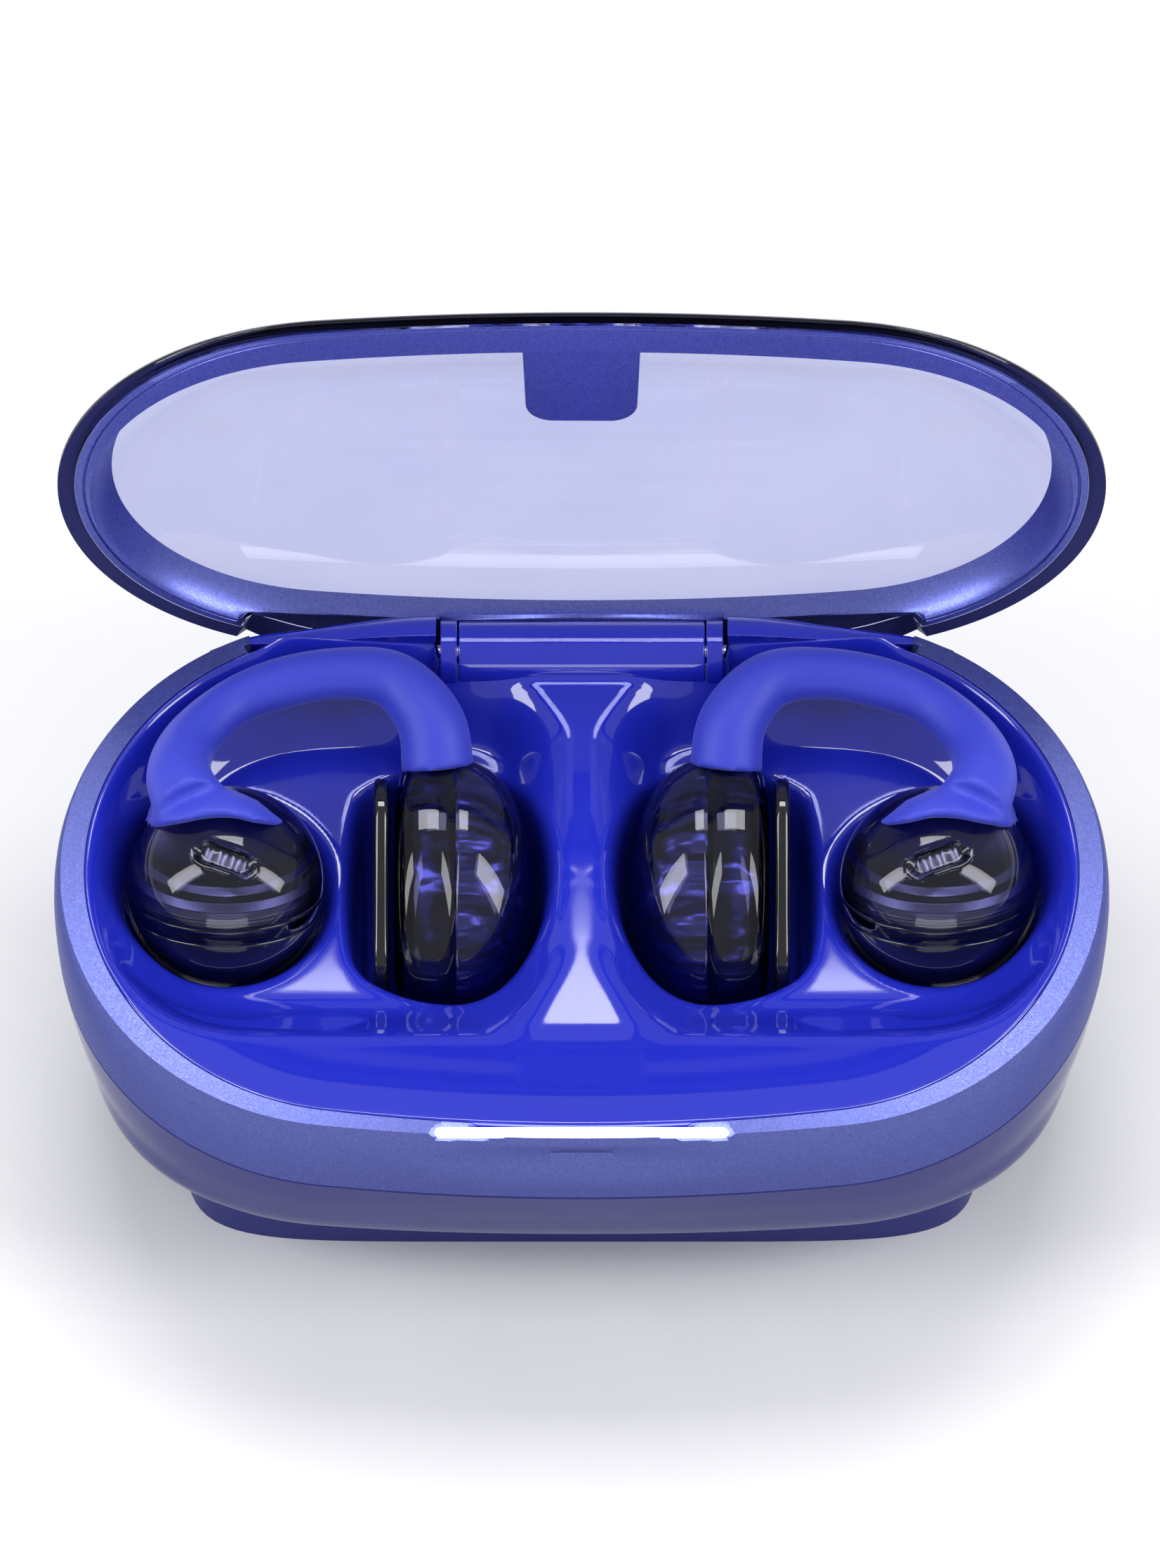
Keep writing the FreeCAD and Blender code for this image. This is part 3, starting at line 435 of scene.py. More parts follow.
class Surface:
    """The shared effects, each a node group that is built once."""

    def __init__(self) -> None:
        """Builds the groups."""
        self.grain = self._grain()
        self.flake = self._flake()
        self.brushed = self._brushed()

    @staticmethod
    def _start(name: str, inputs: Sequence[tuple], outputs: Sequence[tuple]) -> tuple:
        """Starts a group.

        Args:
            name: the group's name.
            inputs: each input's name, kind and usual value.
            outputs: each output's name and kind.

        Returns:
            The group, its nodes, its links, and the nodes of its inputs and outputs.
        """
        group = bpy.data.node_groups.new(name, "ShaderNodeTree")
        for title, kind, value in inputs:
            socket(group, title, "INPUT", kind, value)
        for title, kind in outputs:
            socket(group, title, "OUTPUT", kind)
        nodes = group.nodes
        return (group, nodes, group.links, nodes.new("NodeGroupInput"),
                nodes.new("NodeGroupOutput"))

    def _grain(self) -> bpy.types.ShaderNodeTree:
        """A fine moulded grain: a roughness that wanders, a height and a faint colour mask."""
        group, nodes, links, given, out = self._start(
            "moulded grain",
            [("Scale", "NodeSocketFloat", 2000.0), ("Roughness low", "NodeSocketFloat", 0.1),
             ("Roughness high", "NodeSocketFloat", 0.2)],
            [("Roughness", "NodeSocketFloat"), ("Height", "NodeSocketFloat"),
             ("Mask", "NodeSocketFloat")])
        place = nodes.new("ShaderNodeTexCoord")
        fine, broad = nodes.new("ShaderNodeTexNoise"), nodes.new("ShaderNodeTexNoise")
        fine.inputs["Detail"].default_value = 3.0
        broad.inputs["Scale"].default_value = 90.0
        broad.inputs["Detail"].default_value = 4.0
        span = nodes.new("ShaderNodeMapRange")
        span.inputs["From Min"].default_value, span.inputs["From Max"].default_value = 0.3, 0.7
        for texture in (fine, broad):
            links.new(place.outputs["Object"], texture.inputs["Vector"])
        links.new(given.outputs["Scale"], fine.inputs["Scale"])
        links.new(broad.outputs["Fac"], span.inputs["Value"])
        links.new(given.outputs["Roughness low"], span.inputs["To Min"])
        links.new(given.outputs["Roughness high"], span.inputs["To Max"])
        links.new(span.outputs["Result"], out.inputs["Roughness"])
        links.new(fine.outputs["Fac"], out.inputs["Height"])
        links.new(broad.outputs["Fac"], out.inputs["Mask"])
        return group

    def _flake(self) -> bpy.types.ShaderNodeTree:
        """Metallic flakes: each a cell with its own brightness and tilt."""
        group, nodes, links, given, out = self._start(
            "metallic flakes",
            [("Scale", "NodeSocketFloat", 8000.0), ("Dark", "NodeSocketColor", (0.1, 0.1, 0.4, 1)),
             ("Light", "NodeSocketColor", (0.3, 0.3, 0.7, 1))],
            [("Color", "NodeSocketColor"), ("Height", "NodeSocketFloat"),
             ("Roughness", "NodeSocketFloat")])
        place, cells = nodes.new("ShaderNodeTexCoord"), nodes.new("ShaderNodeTexVoronoi")
        parts, blend = nodes.new("ShaderNodeSeparateColor"), nodes.new("ShaderNodeMix")
        rough = nodes.new("ShaderNodeMapRange")
        blend.data_type = "RGBA"
        rough.inputs["To Min"].default_value, rough.inputs["To Max"].default_value = 0.26, 0.42
        links.new(place.outputs["Object"], cells.inputs["Vector"])
        links.new(given.outputs["Scale"], cells.inputs["Scale"])
        links.new(cells.outputs["Color"], parts.inputs["Color"])
        links.new(parts.outputs["Red"], blend.inputs["Factor"])
        links.new(given.outputs["Dark"], blend.inputs["A"])
        links.new(given.outputs["Light"], blend.inputs["B"])
        links.new(blend.outputs["Result"], out.inputs["Color"])
        links.new(parts.outputs["Green"], out.inputs["Height"])
        links.new(parts.outputs["Blue"], rough.inputs["Value"])
        links.new(rough.outputs["Result"], out.inputs["Roughness"])
        return group

    def _brushed(self) -> bpy.types.ShaderNodeTree:
        """Fine lines along X, as on turned or brushed metal."""
        group, nodes, links, given, out = self._start(
            "brushed lines",
            [("Scale", "NodeSocketFloat", 900.0), ("Dark", "NodeSocketColor", (0.4, 0.4, 0.4, 1)),
             ("Light", "NodeSocketColor", (0.7, 0.7, 0.7, 1))],
            [("Color", "NodeSocketColor"), ("Height", "NodeSocketFloat")])
        place, turn = nodes.new("ShaderNodeTexCoord"), nodes.new("ShaderNodeMapping")
        lines, blend = nodes.new("ShaderNodeTexNoise"), nodes.new("ShaderNodeMix")
        turn.inputs["Scale"].default_value = (0.06, 1.0, 1.0)
        blend.data_type = "RGBA"
        links.new(place.outputs["Object"], turn.inputs["Vector"])
        links.new(turn.outputs["Vector"], lines.inputs["Vector"])
        links.new(given.outputs["Scale"], lines.inputs["Scale"])
        links.new(lines.outputs["Fac"], blend.inputs["Factor"])
        links.new(given.outputs["Dark"], blend.inputs["A"])
        links.new(given.outputs["Light"], blend.inputs["B"])
        links.new(blend.outputs["Result"], out.inputs["Color"])
        links.new(lines.outputs["Fac"], out.inputs["Height"])
        return group


@dataclass(frozen=True)
class Finish:
    """What every finish has: a name, and the shader and bump that it starts from."""

    name: str

    def start(self) -> tuple:
        """A new material with its shader, its nodes and its links."""
        made = bpy.data.materials.new(self.name)
        made.use_nodes = True
        nodes = made.node_tree.nodes
        return made, nodes["Principled BSDF"], nodes, made.node_tree.links

    @staticmethod
    def bump(nodes: bpy.types.Nodes, links: bpy.types.NodeLinks, height: bpy.types.NodeSocket,
             shader: bpy.types.Node, strength: float, distance: float) -> None:
        """Feeds a height to the shader's normal.

        Args:
            nodes: the material's nodes.
            links: the material's links.
            height: the height that is read.
            shader: the shader.
            strength: how strong the relief is, from 0 to 1.
            distance: how deep it is, in metres.
        """
        step = nodes.new("ShaderNodeBump")
        step.inputs["Strength"].default_value = strength
        step.inputs["Distance"].default_value = distance
        links.new(height, step.inputs["Height"])
        links.new(step.outputs["Normal"], shader.inputs["Normal"])

    @staticmethod
    def effect(nodes: bpy.types.Nodes, group: bpy.types.ShaderNodeTree,
               **values: object) -> bpy.types.Node:
        """Places a shared effect, with its own values."""
        made = nodes.new("ShaderNodeGroup")
        made.node_tree = group
        for key, value in values.items():
            made.inputs[key.replace("_", " ")].default_value = value
        return made


@dataclass(frozen=True)
class Toned(Finish):
    """A finish that wanders between a dark and a light tone."""

    dark: Colour
    light: Colour

    @property
    def tones(self) -> dict:
        """Both tones, as a shared effect's values."""
        return {"Dark": (*self.dark, 1), "Light": (*self.light, 1)}

    def mottled(self, surface: Surface, scale: float, rough: Span) -> tuple:
        """Starts a material whose colour and roughness wander with the moulded grain.

        Args:
            surface: the shared effects.
            scale: the grain's scale.
            rough: the lowest and the highest roughness.

        Returns:
            What start returns, and the grain's node.
        """
        made, shader, nodes, links = self.start()
        grain = self.effect(nodes, surface.grain, Scale=scale, Roughness_low=rough[0],
                            Roughness_high=rough[1])
        blend = nodes.new("ShaderNodeMix")
        blend.data_type = "RGBA"
        blend.inputs["A"].default_value = (*self.dark, 1)
        blend.inputs["B"].default_value = (*self.light, 1)
        links.new(grain.outputs["Mask"], blend.inputs["Factor"])
        links.new(blend.outputs["Result"], shader.inputs["Base Color"])
        links.new(grain.outputs["Roughness"], shader.inputs["Roughness"])
        return made, shader, nodes, links, grain


@dataclass(frozen=True)
class Moulded(Toned):
    """Opaque moulded plastic or rubber."""

    rough: Span = (0.1, 0.2)
    grain: float = 2500.0
    bump_strength: float = 0.05
    coat: float = 0.0
    sheen: float = 0.0
    ior: float = 1.5

    def make(self, surface: Surface) -> bpy.types.Material:
        """Builds the material."""
        made, shader, nodes, links, grain = self.mottled(surface, self.grain, self.rough)
        self.bump(nodes, links, grain.outputs["Height"], shader, self.bump_strength, 0.00005)
        shader.inputs["Coat Weight"].default_value = self.coat
        shader.inputs["Coat Roughness"].default_value = 0.03
        shader.inputs["Sheen Weight"].default_value = self.sheen
        shader.inputs["Sheen Roughness"].default_value = 0.4
        shader.inputs["IOR"].default_value = self.ior
        return made


@dataclass(frozen=True)
class Flaked(Toned):
    """A metallic paint with flakes under a thin coat."""

    metallic: float = 0.85
    flake: float = 7000.0
    coat: float = 0.25
    edge: Colour = (1.0, 1.0, 1.0)

    def make(self, surface: Surface) -> bpy.types.Material:
        """Builds the material."""
        made, shader, nodes, links = self.start()
        flakes = self.effect(nodes, surface.flake, Scale=self.flake, **self.tones)
        links.new(flakes.outputs["Color"], shader.inputs["Base Color"])
        links.new(flakes.outputs["Roughness"], shader.inputs["Roughness"])
        self.bump(nodes, links, flakes.outputs["Height"], shader, 0.07, 0.00002)
        shader.inputs["Metallic"].default_value = self.metallic
        shader.inputs["Specular Tint"].default_value = (*self.edge, 1)
        shader.inputs["Coat Weight"].default_value = self.coat
        shader.inputs["Coat Roughness"].default_value = 0.2
        return made


@dataclass(frozen=True)
class Clear(Toned):
    """A tinted see-through plastic."""

    rough: Span = (0.015, 0.04)
    grain: float = 1500.0
    through: float = 1.0
    ior: float = 1.45

    def make(self, surface: Surface) -> bpy.types.Material:
        """Builds the material."""
        made, shader = self.mottled(surface, self.grain, self.rough)[:2]
        shader.inputs["Transmission Weight"].default_value = self.through
        shader.inputs["IOR"].default_value = self.ior
        return made


@dataclass(frozen=True)
class Metal(Toned):
    """Plain metal with fine lines."""

    rough: float = 0.3
    lines: float = 900.0
    relief: float = 0.00003
    bump_strength: float = 0.1

    def make(self, surface: Surface) -> bpy.types.Material:
        """Builds the material."""
        made, shader, nodes, links = self.start()
        brushed = self.effect(nodes, surface.brushed, Scale=self.lines, **self.tones)
        links.new(brushed.outputs["Color"], shader.inputs["Base Color"])
        self.bump(nodes, links, brushed.outputs["Height"], shader, self.bump_strength,
                  self.relief)
        shader.inputs["Metallic"].default_value = 1.0
        shader.inputs["Roughness"].default_value = self.rough
        return made


@dataclass(frozen=True)
class Glowing(Finish):
    """A light diffuser that glows evenly."""

    strength: float = 5.0

    def make(self, surface: Surface) -> bpy.types.Material:
        """Builds the material."""
        made, shader, nodes, links = self.start()
        grain = self.effect(nodes, surface.grain, Scale=3000.0, Roughness_low=0.3,
                            Roughness_high=0.4)
        links.new(grain.outputs["Roughness"], shader.inputs["Roughness"])
        shader.inputs["Base Color"].default_value = (0.9, 0.9, 1.0, 1)
        shader.inputs["Emission Color"].default_value = (0.93, 0.94, 1.0, 1)
        shader.inputs["Emission Strength"].default_value = self.strength
        return made


class Palette:
    """Every finish of the object."""

    def __init__(self) -> None:
        """Builds the materials."""
        surface = Surface()
        self.trim = Flaked("trim flake", (0.075, 0.09, 0.29), (0.12, 0.14, 0.42), 0.8,
                           15000.0, 0.05, (0.35, 0.37, 0.6)).make(surface)
        self.liner = Flaked("lid liner flake", (0.11, 0.13, 0.46), (0.18, 0.21, 0.63), 0.85,
                            15000.0, 0.1, (0.6, 0.62, 0.8)).make(surface)
        self.tray = Moulded("tray gloss", (0.013, 0.021, 0.44), (0.015, 0.025, 0.50),
                            rough=(0.04, 0.08), bump_strength=0.01, coat=0.6).make(surface)
        self.silicone = Moulded("silicone", (0.030, 0.045, 0.52), (0.036, 0.052, 0.58),
                                rough=(0.50, 0.58), grain=5000.0, bump_strength=0.12,
                                sheen=0.15).make(surface)
        self.window = Clear("lid window", (0.50, 0.52, 0.76), (0.60, 0.62, 0.84)).make(surface)
        self.navy = Moulded("navy edge", (0.020, 0.022, 0.105), (0.026, 0.028, 0.125),
                            rough=(0.35, 0.45), bump_strength=0.01, ior=1.2).make(surface)
        self.shell = Clear("tinted shell", (0.026, 0.029, 0.18), (0.036, 0.04, 0.23),
                           through=0.2, ior=1.12).make(surface)
        self.foot = Moulded("foot plastic", (0.028, 0.030, 0.15), (0.036, 0.04, 0.19),
                            rough=(0.2, 0.3), bump_strength=0.02, ior=1.15).make(surface)
        self.smoky = Clear("smoky shell", (0.30, 0.30, 0.52), (0.38, 0.38, 0.62)).make(surface)
        self.works = Metal("pod works", (0.006, 0.006, 0.05), (0.42, 0.42, 0.86), 0.22, 420.0,
                           0.0009, 0.7).make(surface)
        self.core = Moulded("dark core", (0.004, 0.004, 0.012), (0.012, 0.012, 0.04),
                            rough=(0.15, 0.3), bump_strength=0.03, coat=0.3).make(surface)
        self.black = Moulded("button black", (0.003, 0.003, 0.004), (0.005, 0.005, 0.007),
                             rough=(0.05, 0.1), bump_strength=0.01, coat=0.5).make(surface)
        self.chip = Moulded("chip black", (0.012, 0.012, 0.014), (0.02, 0.02, 0.024),
                            rough=(0.4, 0.6), bump_strength=0.2).make(surface)
        self.board = Moulded("circuit board", (0.004, 0.03, 0.02), (0.008, 0.05, 0.03),
                             rough=(0.25, 0.4), grain=1200.0, bump_strength=0.1).make(surface)
        self.steel = Metal("steel", (0.42, 0.42, 0.44), (0.62, 0.62, 0.64), 0.28).make(surface)
        self.gold = Metal("gold contact", (0.72, 0.50, 0.22), (0.92, 0.70, 0.36),
                          0.22).make(surface)
        self.foil = Metal("cell foil", (0.30, 0.31, 0.36), (0.42, 0.43, 0.50), 0.4,
                          500.0).make(surface)
        self.nickel = Metal("magnet nickel", (0.55, 0.55, 0.58), (0.72, 0.72, 0.74),
                            0.15).make(surface)
        self.glow = Glowing("light diffuser", 6.0).make(surface)
        self.floor = Moulded("studio floor", (0.82, 0.82, 0.83), (0.86, 0.86, 0.87),
                             rough=(0.6, 0.8), grain=60.0, bump_strength=0.0).make(surface)

    def dress_frame(self, frame: dict) -> None:
        """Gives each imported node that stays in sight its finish.
        """
        by_slot = {
            "circuit_board": self.board, "steel": self.steel, "chip_black": self.chip,
            "cell_wrap": self.foil, "contact_gold": self.gold, "magnet_nickel": self.nickel,
            "trim_metallic": self.liner, "smoky_shell": self.smoky, "button_black": self.black,
            "silicone": self.silicone, "speaker_ring": self.core, "tinted_shell": self.shell,
            "lid_tint": self.window, "tray_gloss": self.tray, "light_diffuser": self.glow,
        }
        slots = {row["node"]: row["material_slot"] for row in frame["record"]["subparts"]}
        for name, node in frame["nodes"].items():
            node.data.materials.clear()
            node.data.materials.append(by_slot[slots[name]])


# ---------------------------------------------------------------- case
@dataclass
class Case:
    """The case's body: foot, clear lower shell, metallic band, glossy tray and light bar."""

    palette: Palette
    hinge: Vector
    rim: float = 28.0
    outline: Oval = Oval(37.0, 21.6, 20.7)
    seam: Oval = Oval(35.15, 20.6, 19.5)
    foot_oval: Oval = Oval(28.3, 14.5, 13.6)
    foot_top: float = 3.85
    foot_steps: tuple = ((-2.4, 0.0), (-0.9, 0.0), (-0.25, 0.25), (0.0, 0.8), (0.0, 2.1),
                         (-0.12, 2.2), (-0.12, 2.4), (0.0, 2.5), (0.0, 3.85), (-2.4, 3.85))
    shell_wall: float = 1.6
    shell_rows: int = 22
    shell_levels: tuple = ((33.9, 14.9, 14.3, 3.9), (35.3, 18.3, 17.6, 8.0),
                           (36.5, 20.3, 19.5, 14.0), (37.15, 21.75, 20.8, 19.6))
    band_steps: tuple = ((0.15, 19.62), (0.24, 21.0), (0.32, 22.6), (0.36, 24.2), (0.33, 25.6),
                         (0.24, 26.7), (0.08, 27.45), (-0.02, 27.72))
    scoop_reach: float = 15.5
    scoop_height: float = 25.2
    scoop_spread: float = 2.2
    scoop_depth: float = 0.55
    light_reach: float = 10.4
    light_top: float = 27.2
    channel_reach: float = 23.3
    channel_floor: float = 23.0
    notch: float = 10.35
    shoulder_radius: float = 2.65
    shoulder_end: float = 26.4
    roll_radius: float = 2.25
    roll_reach: float = 8.75
    lip_height: float = 1.05
    lip_end: float = 23.4
    pool_floor: float = 23.6
    well_radius: float = 7.5

    def build(self) -> None:
        """Makes every piece of the case."""
        self.make_foot()
        self.make_shell()
        self.make_band()
        self.make_tray()
        self.make_hinge()
        self.make_light_bar()

    def make_foot(self) -> None:
        """The low foot, drawn out towards its corners."""
        mesh = rings([self.foot_oval.grown(offset, z) for offset, z in self.foot_steps],
                     closed=False)
        for vert in mesh.verts:
            square_off(vert.co, self.foot_oval, power=7.0, share=1.0, most=1.25)
        for level in (0.0, self.foot_top):
            close_level(mesh, level)
        face_out(mesh)
        thing = piece("case_foot", mesh, "base", self.palette.foot, slot="tinted_shell",
                      replaces=["foot_plate"])
        bevel(thing, 0.1)

    def make_shell(self) -> None:
        """The clear lower casing: an open cup with an even wall and a hole for the socket."""
        rows, wall = self.shell_rows, self.shell_wall
        outer = [Oval(*along(self.shell_levels, row / rows)) for row in range(rows + 1)]
        inner = [level.grown(-wall, level.height + wall * (1 - row / rows))
                 for row, level in enumerate(outer)]
        mesh = rings(outer + inner[::-1], closed=False)
        for vert in mesh.verts:
            height = vert.co.z
            level = min(outer, key=lambda oval: abs(oval.height - height))
            square_off(vert.co, level, power=3.4, share=0.55 * ease((12.0 - height) / 8.0),
                       most=1.08, least=0.8)
        for level in (outer[0].height, inner[0].height):
            close_level(mesh, level)
        face_out(mesh)
        thing = piece("case_shell", mesh, "base", self.palette.shell, slot="tinted_shell",
                      replaces=["base_shell"])
        low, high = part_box("charging_socket")
        gap, past = 0.2, 3.0
        cutter = bar((low.x / MM - gap, high.x / MM + gap), (low.y / MM, self.outline.depth + past),
                     (low.z / MM - gap, high.z / MM + gap), 1.5, 6)
        cut = piece("socket_cutter", cutter, None)
        step = thing.modifiers.new("socket hole", "BOOLEAN")
        step.object, step.solver = cut, "EXACT"
        settle(thing)
        bpy.data.objects.remove(cut)

    def make_band(self) -> None:
        """The metallic band, with its bright upper edge, its thumb scoop and its hinge channel."""
        outer = [self.outline.grown(offset, z) for offset, z in self.band_steps]
        bevelled = [Oval(mix(self.outline.length, self.seam.length, share),
                         mix(self.outline.depth, self.seam.depth, share),
                         mix(self.outline.end, self.seam.end, share), 27.86 + 0.2 * share)
                    for share in (0.06, 0.5, 0.97)]
        wall = [self.seam.grown(0.0, z) for z in (27.95, 26.5, 24.0, 21.5, 19.62)]
        mesh = rings(outer + bevelled + wall, columns=360)
        for vert in mesh.verts:
            place = vert.co
            scoop = (ease(1 - abs(place.x) / self.scoop_reach)
                     * ease(1 - abs(place.z - self.scoop_height) / self.scoop_spread))
            if place.y < -19.5 and self.outline.inside(place.x, place.y) < 0.4:
                place.y += self.scoop_depth * scoop
            if abs(place.x) < self.light_reach and -21.45 < place.y < -20.4:
                place.z = min(place.z, self.light_top)
            if place.y > 15.0:
                channel = ease(self.channel_reach + 0.5 - abs(place.x))
                place.z = min(place.z, mix(self.rim + 1, self.channel_floor, channel))
        face_out(mesh)
        thing = piece("rim_band", mesh, "base", self.palette.trim, slot="trim_metallic",
                      replaces=["trim_band"])
        bevel(thing, 0.09, 3, 22.0)

    def tray_height(self, x: float, y: float, back_edge: float) -> float:
        """The tray's height over a point.

        Args:
            x: the point's X, in millimetres.
            y: its Y.
            back_edge: how far back the tray reaches there.

        Returns:
            The height: rim, bib, ridge, pools and wells, less the hollows of the earbuds.
        """
        side = abs(x)
        depth = self.seam.inside(x, y)
        bib = ease((-y - 7.0) / 6.0)
        top = self.rim - 1.15 * ease(depth / mix(2.0, 9.0, bib))
        ridge = 1.9 + 2.6 * ease((y - 11.0) / 6.0) + 2.2 * ease((-y - 5.0) / 7.0)
        front, back = -12.2 - y, y - 16.9
        edge = soft_max(soft_max(1.6 - depth, ridge - side, 2.5), soft_max(front, back, 1.0), 3.2)
        height = mix(self.pool_floor, top, ease((edge + 4.2) / 5.4))
        height = soft_min(height, self.ball_well(side, y), 2.0)
        height = soft_min(height, self.pod_well(side, y), 1.8)
        return height + self.back_lip(side, y, back_edge)

    def ball_well(self, side: float, y: float) -> float:
        """The height of the round hollow that holds a speaker ball."""
        middle, reach = BALL_CENTRE[2], self.well_radius
        away = math.hypot(side - BALL_CENTRE[0], y - BALL_CENTRE[1])
        if away < reach:
            return middle - math.sqrt(max(reach**2 - away**2, 0.0))
        return middle + (away - reach) * 3

    def pod_well(self, side: float, y: float) -> float:
        """The height of the tilted hollow that holds a pod."""
        dx, dy = side - POD_CENTRE[0], y - POD_CENTRE[1]
        dx = dx * 0.62 if dx > 0 else dx
        wide, long, tilt = 6.2, 9.65, math.radians(POD_TILT)
        sin, cos = math.sin(tilt), math.cos(tilt)
        square = sin**2 / long**2 + cos**2 / wide**2
        slope = 2 * dy * sin * cos * (1 / long**2 - 1 / wide**2)
        rest = dx**2 / wide**2 + dy**2 * (cos**2 / long**2 + sin**2 / wide**2) - 1
        inside = slope**2 - 4 * square * rest
        drop = math.copysign(math.sqrt(abs(inside)), inside) / (2 * square)
        low = POD_CENTRE[2] - slope / (2 * square) - (drop if inside > 0 else 1.4 * drop)
        return max(low, low + (side - 15.4) * 5)

    def back_lip(self, side: float, y: float, back_edge: float) -> float:
        """The rise of the tray's back wall towards the hinge's shoulders."""
        shoulder = ease((side - self.notch + 0.25) / 0.3)
        near = ease(1 - (back_edge - y) / 1.5) * ease((self.lip_end - side) / 3.0)
        return near * mix(0.4, self.lip_height, shoulder)

    def make_tray(self) -> None:
        """The glossy tray, one skin with an even wall."""
        outline = self.seam.grown(-0.06, 0.0)
        straight = self.hinge.y - 0.1

        def back_edge(x: float) -> float:
            """How far back the tray reaches."""
            reach = mix(self.hinge.y - 1.2, straight, ease((abs(x) - self.notch + 0.2) / 0.4))
            return mix(reach, outline.depth + 1, ease((abs(x) - self.channel_reach) / 0.6))

        def shape(across: float, up: float) -> Vector:
            """A square spread over the oval, its back cut straight behind the hinge."""
            p, q = 2 * across - 1, 2 * up - 1
            disc_x, disc_y = p * math.sqrt(1 - q * q / 2), q * math.sqrt(1 - p * p / 2)
            share = math.atan2(disc_y, disc_x) / (2 * math.pi)
            x, y, _ = outline.point(share) * math.hypot(disc_x, disc_y)
            widest = self.edge_depth(outline, x)
            if y > 0:
                y *= min(1.0, back_edge(x) / widest)
            return Vector((x, y, self.tray_height(x, y, min(back_edge(x), widest))))

        mesh = patch(shape, 250, 180)
        for reach in (math.inf, *[15.5] * 5):
            inner = [vert for vert in mesh.verts if not vert.is_boundary and vert.co.y < reach]
            bmesh.ops.smooth_vert(mesh, verts=inner, factor=0.5, use_axis_x=False,
                                  use_axis_y=False, use_axis_z=True)
        face_out(mesh, up=True)
        thing = piece("glossy_tray", mesh, "base", self.palette.tray, slot="tray_gloss",
                      replaces=["inner_tray"])
        thicken(thing, 0.7, even=False)

    @staticmethod
    def edge_depth(outline: Oval, x: float) -> float:
        """Half the outline's depth at a distance along it."""
        end_x, long, rise, join = outline.arcs
        side = min(abs(x), outline.length - 1e-4)
        if side > end_x + outline.end * math.cos(join):
            return math.sqrt(max(outline.end**2 - (side - end_x) ** 2, 1e-6))
        return math.sqrt(long**2 - side**2) - rise

    def make_hinge(self) -> None:
        """The roll between the lid's cheeks and the two shoulders beside it."""
        y, z = self.hinge.y, self.hinge.z
        for side in Side:
            near, far = sorted((side.sign * self.notch, side.sign * self.shoulder_end))
            mesh = rod((near, far), y, z, self.shoulder_radius)
            geom = mesh.verts[:] + mesh.edges[:] + mesh.faces[:]
            cut = bmesh.ops.bisect_plane(mesh, geom=geom, plane_co=(0, y - 0.08, z),
                                         plane_no=(0, -1, 0), clear_outer=True)
            edges = [item for item in cut["geom_cut"] if isinstance(item, bmesh.types.BMEdge)]
            bmesh.ops.contextual_create(mesh, geom=edges)
            long = [edge for edge in mesh.edges
                    if abs(edge.verts[0].co.x - edge.verts[1].co.x) > 5]
            bmesh.ops.subdivide_edges(mesh, edges=long, cuts=24, use_grid_fill=True)
            for vert in mesh.verts:
                taper = mix(1.0, 0.5, ease((abs(vert.co.x) - self.notch) / 14.0))
                vert.co.y = y + (vert.co.y - y) * taper
                vert.co.z = z + (vert.co.z - z) * taper
                over = 0.1 - self.outline.inside(vert.co.x, vert.co.y)
                vert.co.y -= max(over, 0.0)
            face_out(mesh)
            thing = piece(side.named("hinge_shoulder"), mesh, "base", self.palette.tray,
                          slot="tray_gloss")
            bevel(thing, 0.14, 4)
        mesh = rod((-self.roll_reach, self.roll_reach), y, z, self.roll_radius)
        face_out(mesh)
        bevel(piece("hinge_roll", mesh, "base", self.palette.tray, slot="tray_gloss"), 0.12)

    def make_light_bar(self) -> None:
        """The glowing bar in the front of the band."""
        low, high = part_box("light_bar")
        x, y, z = ((start / MM, end / MM) for start, end in zip(low, high))
        mesh = bar(x, y, z, 0.42, 5)
        piece("light_strip", mesh, "base", self.palette.glow, slot="light_diffuser",
              replaces=["light_bar"])


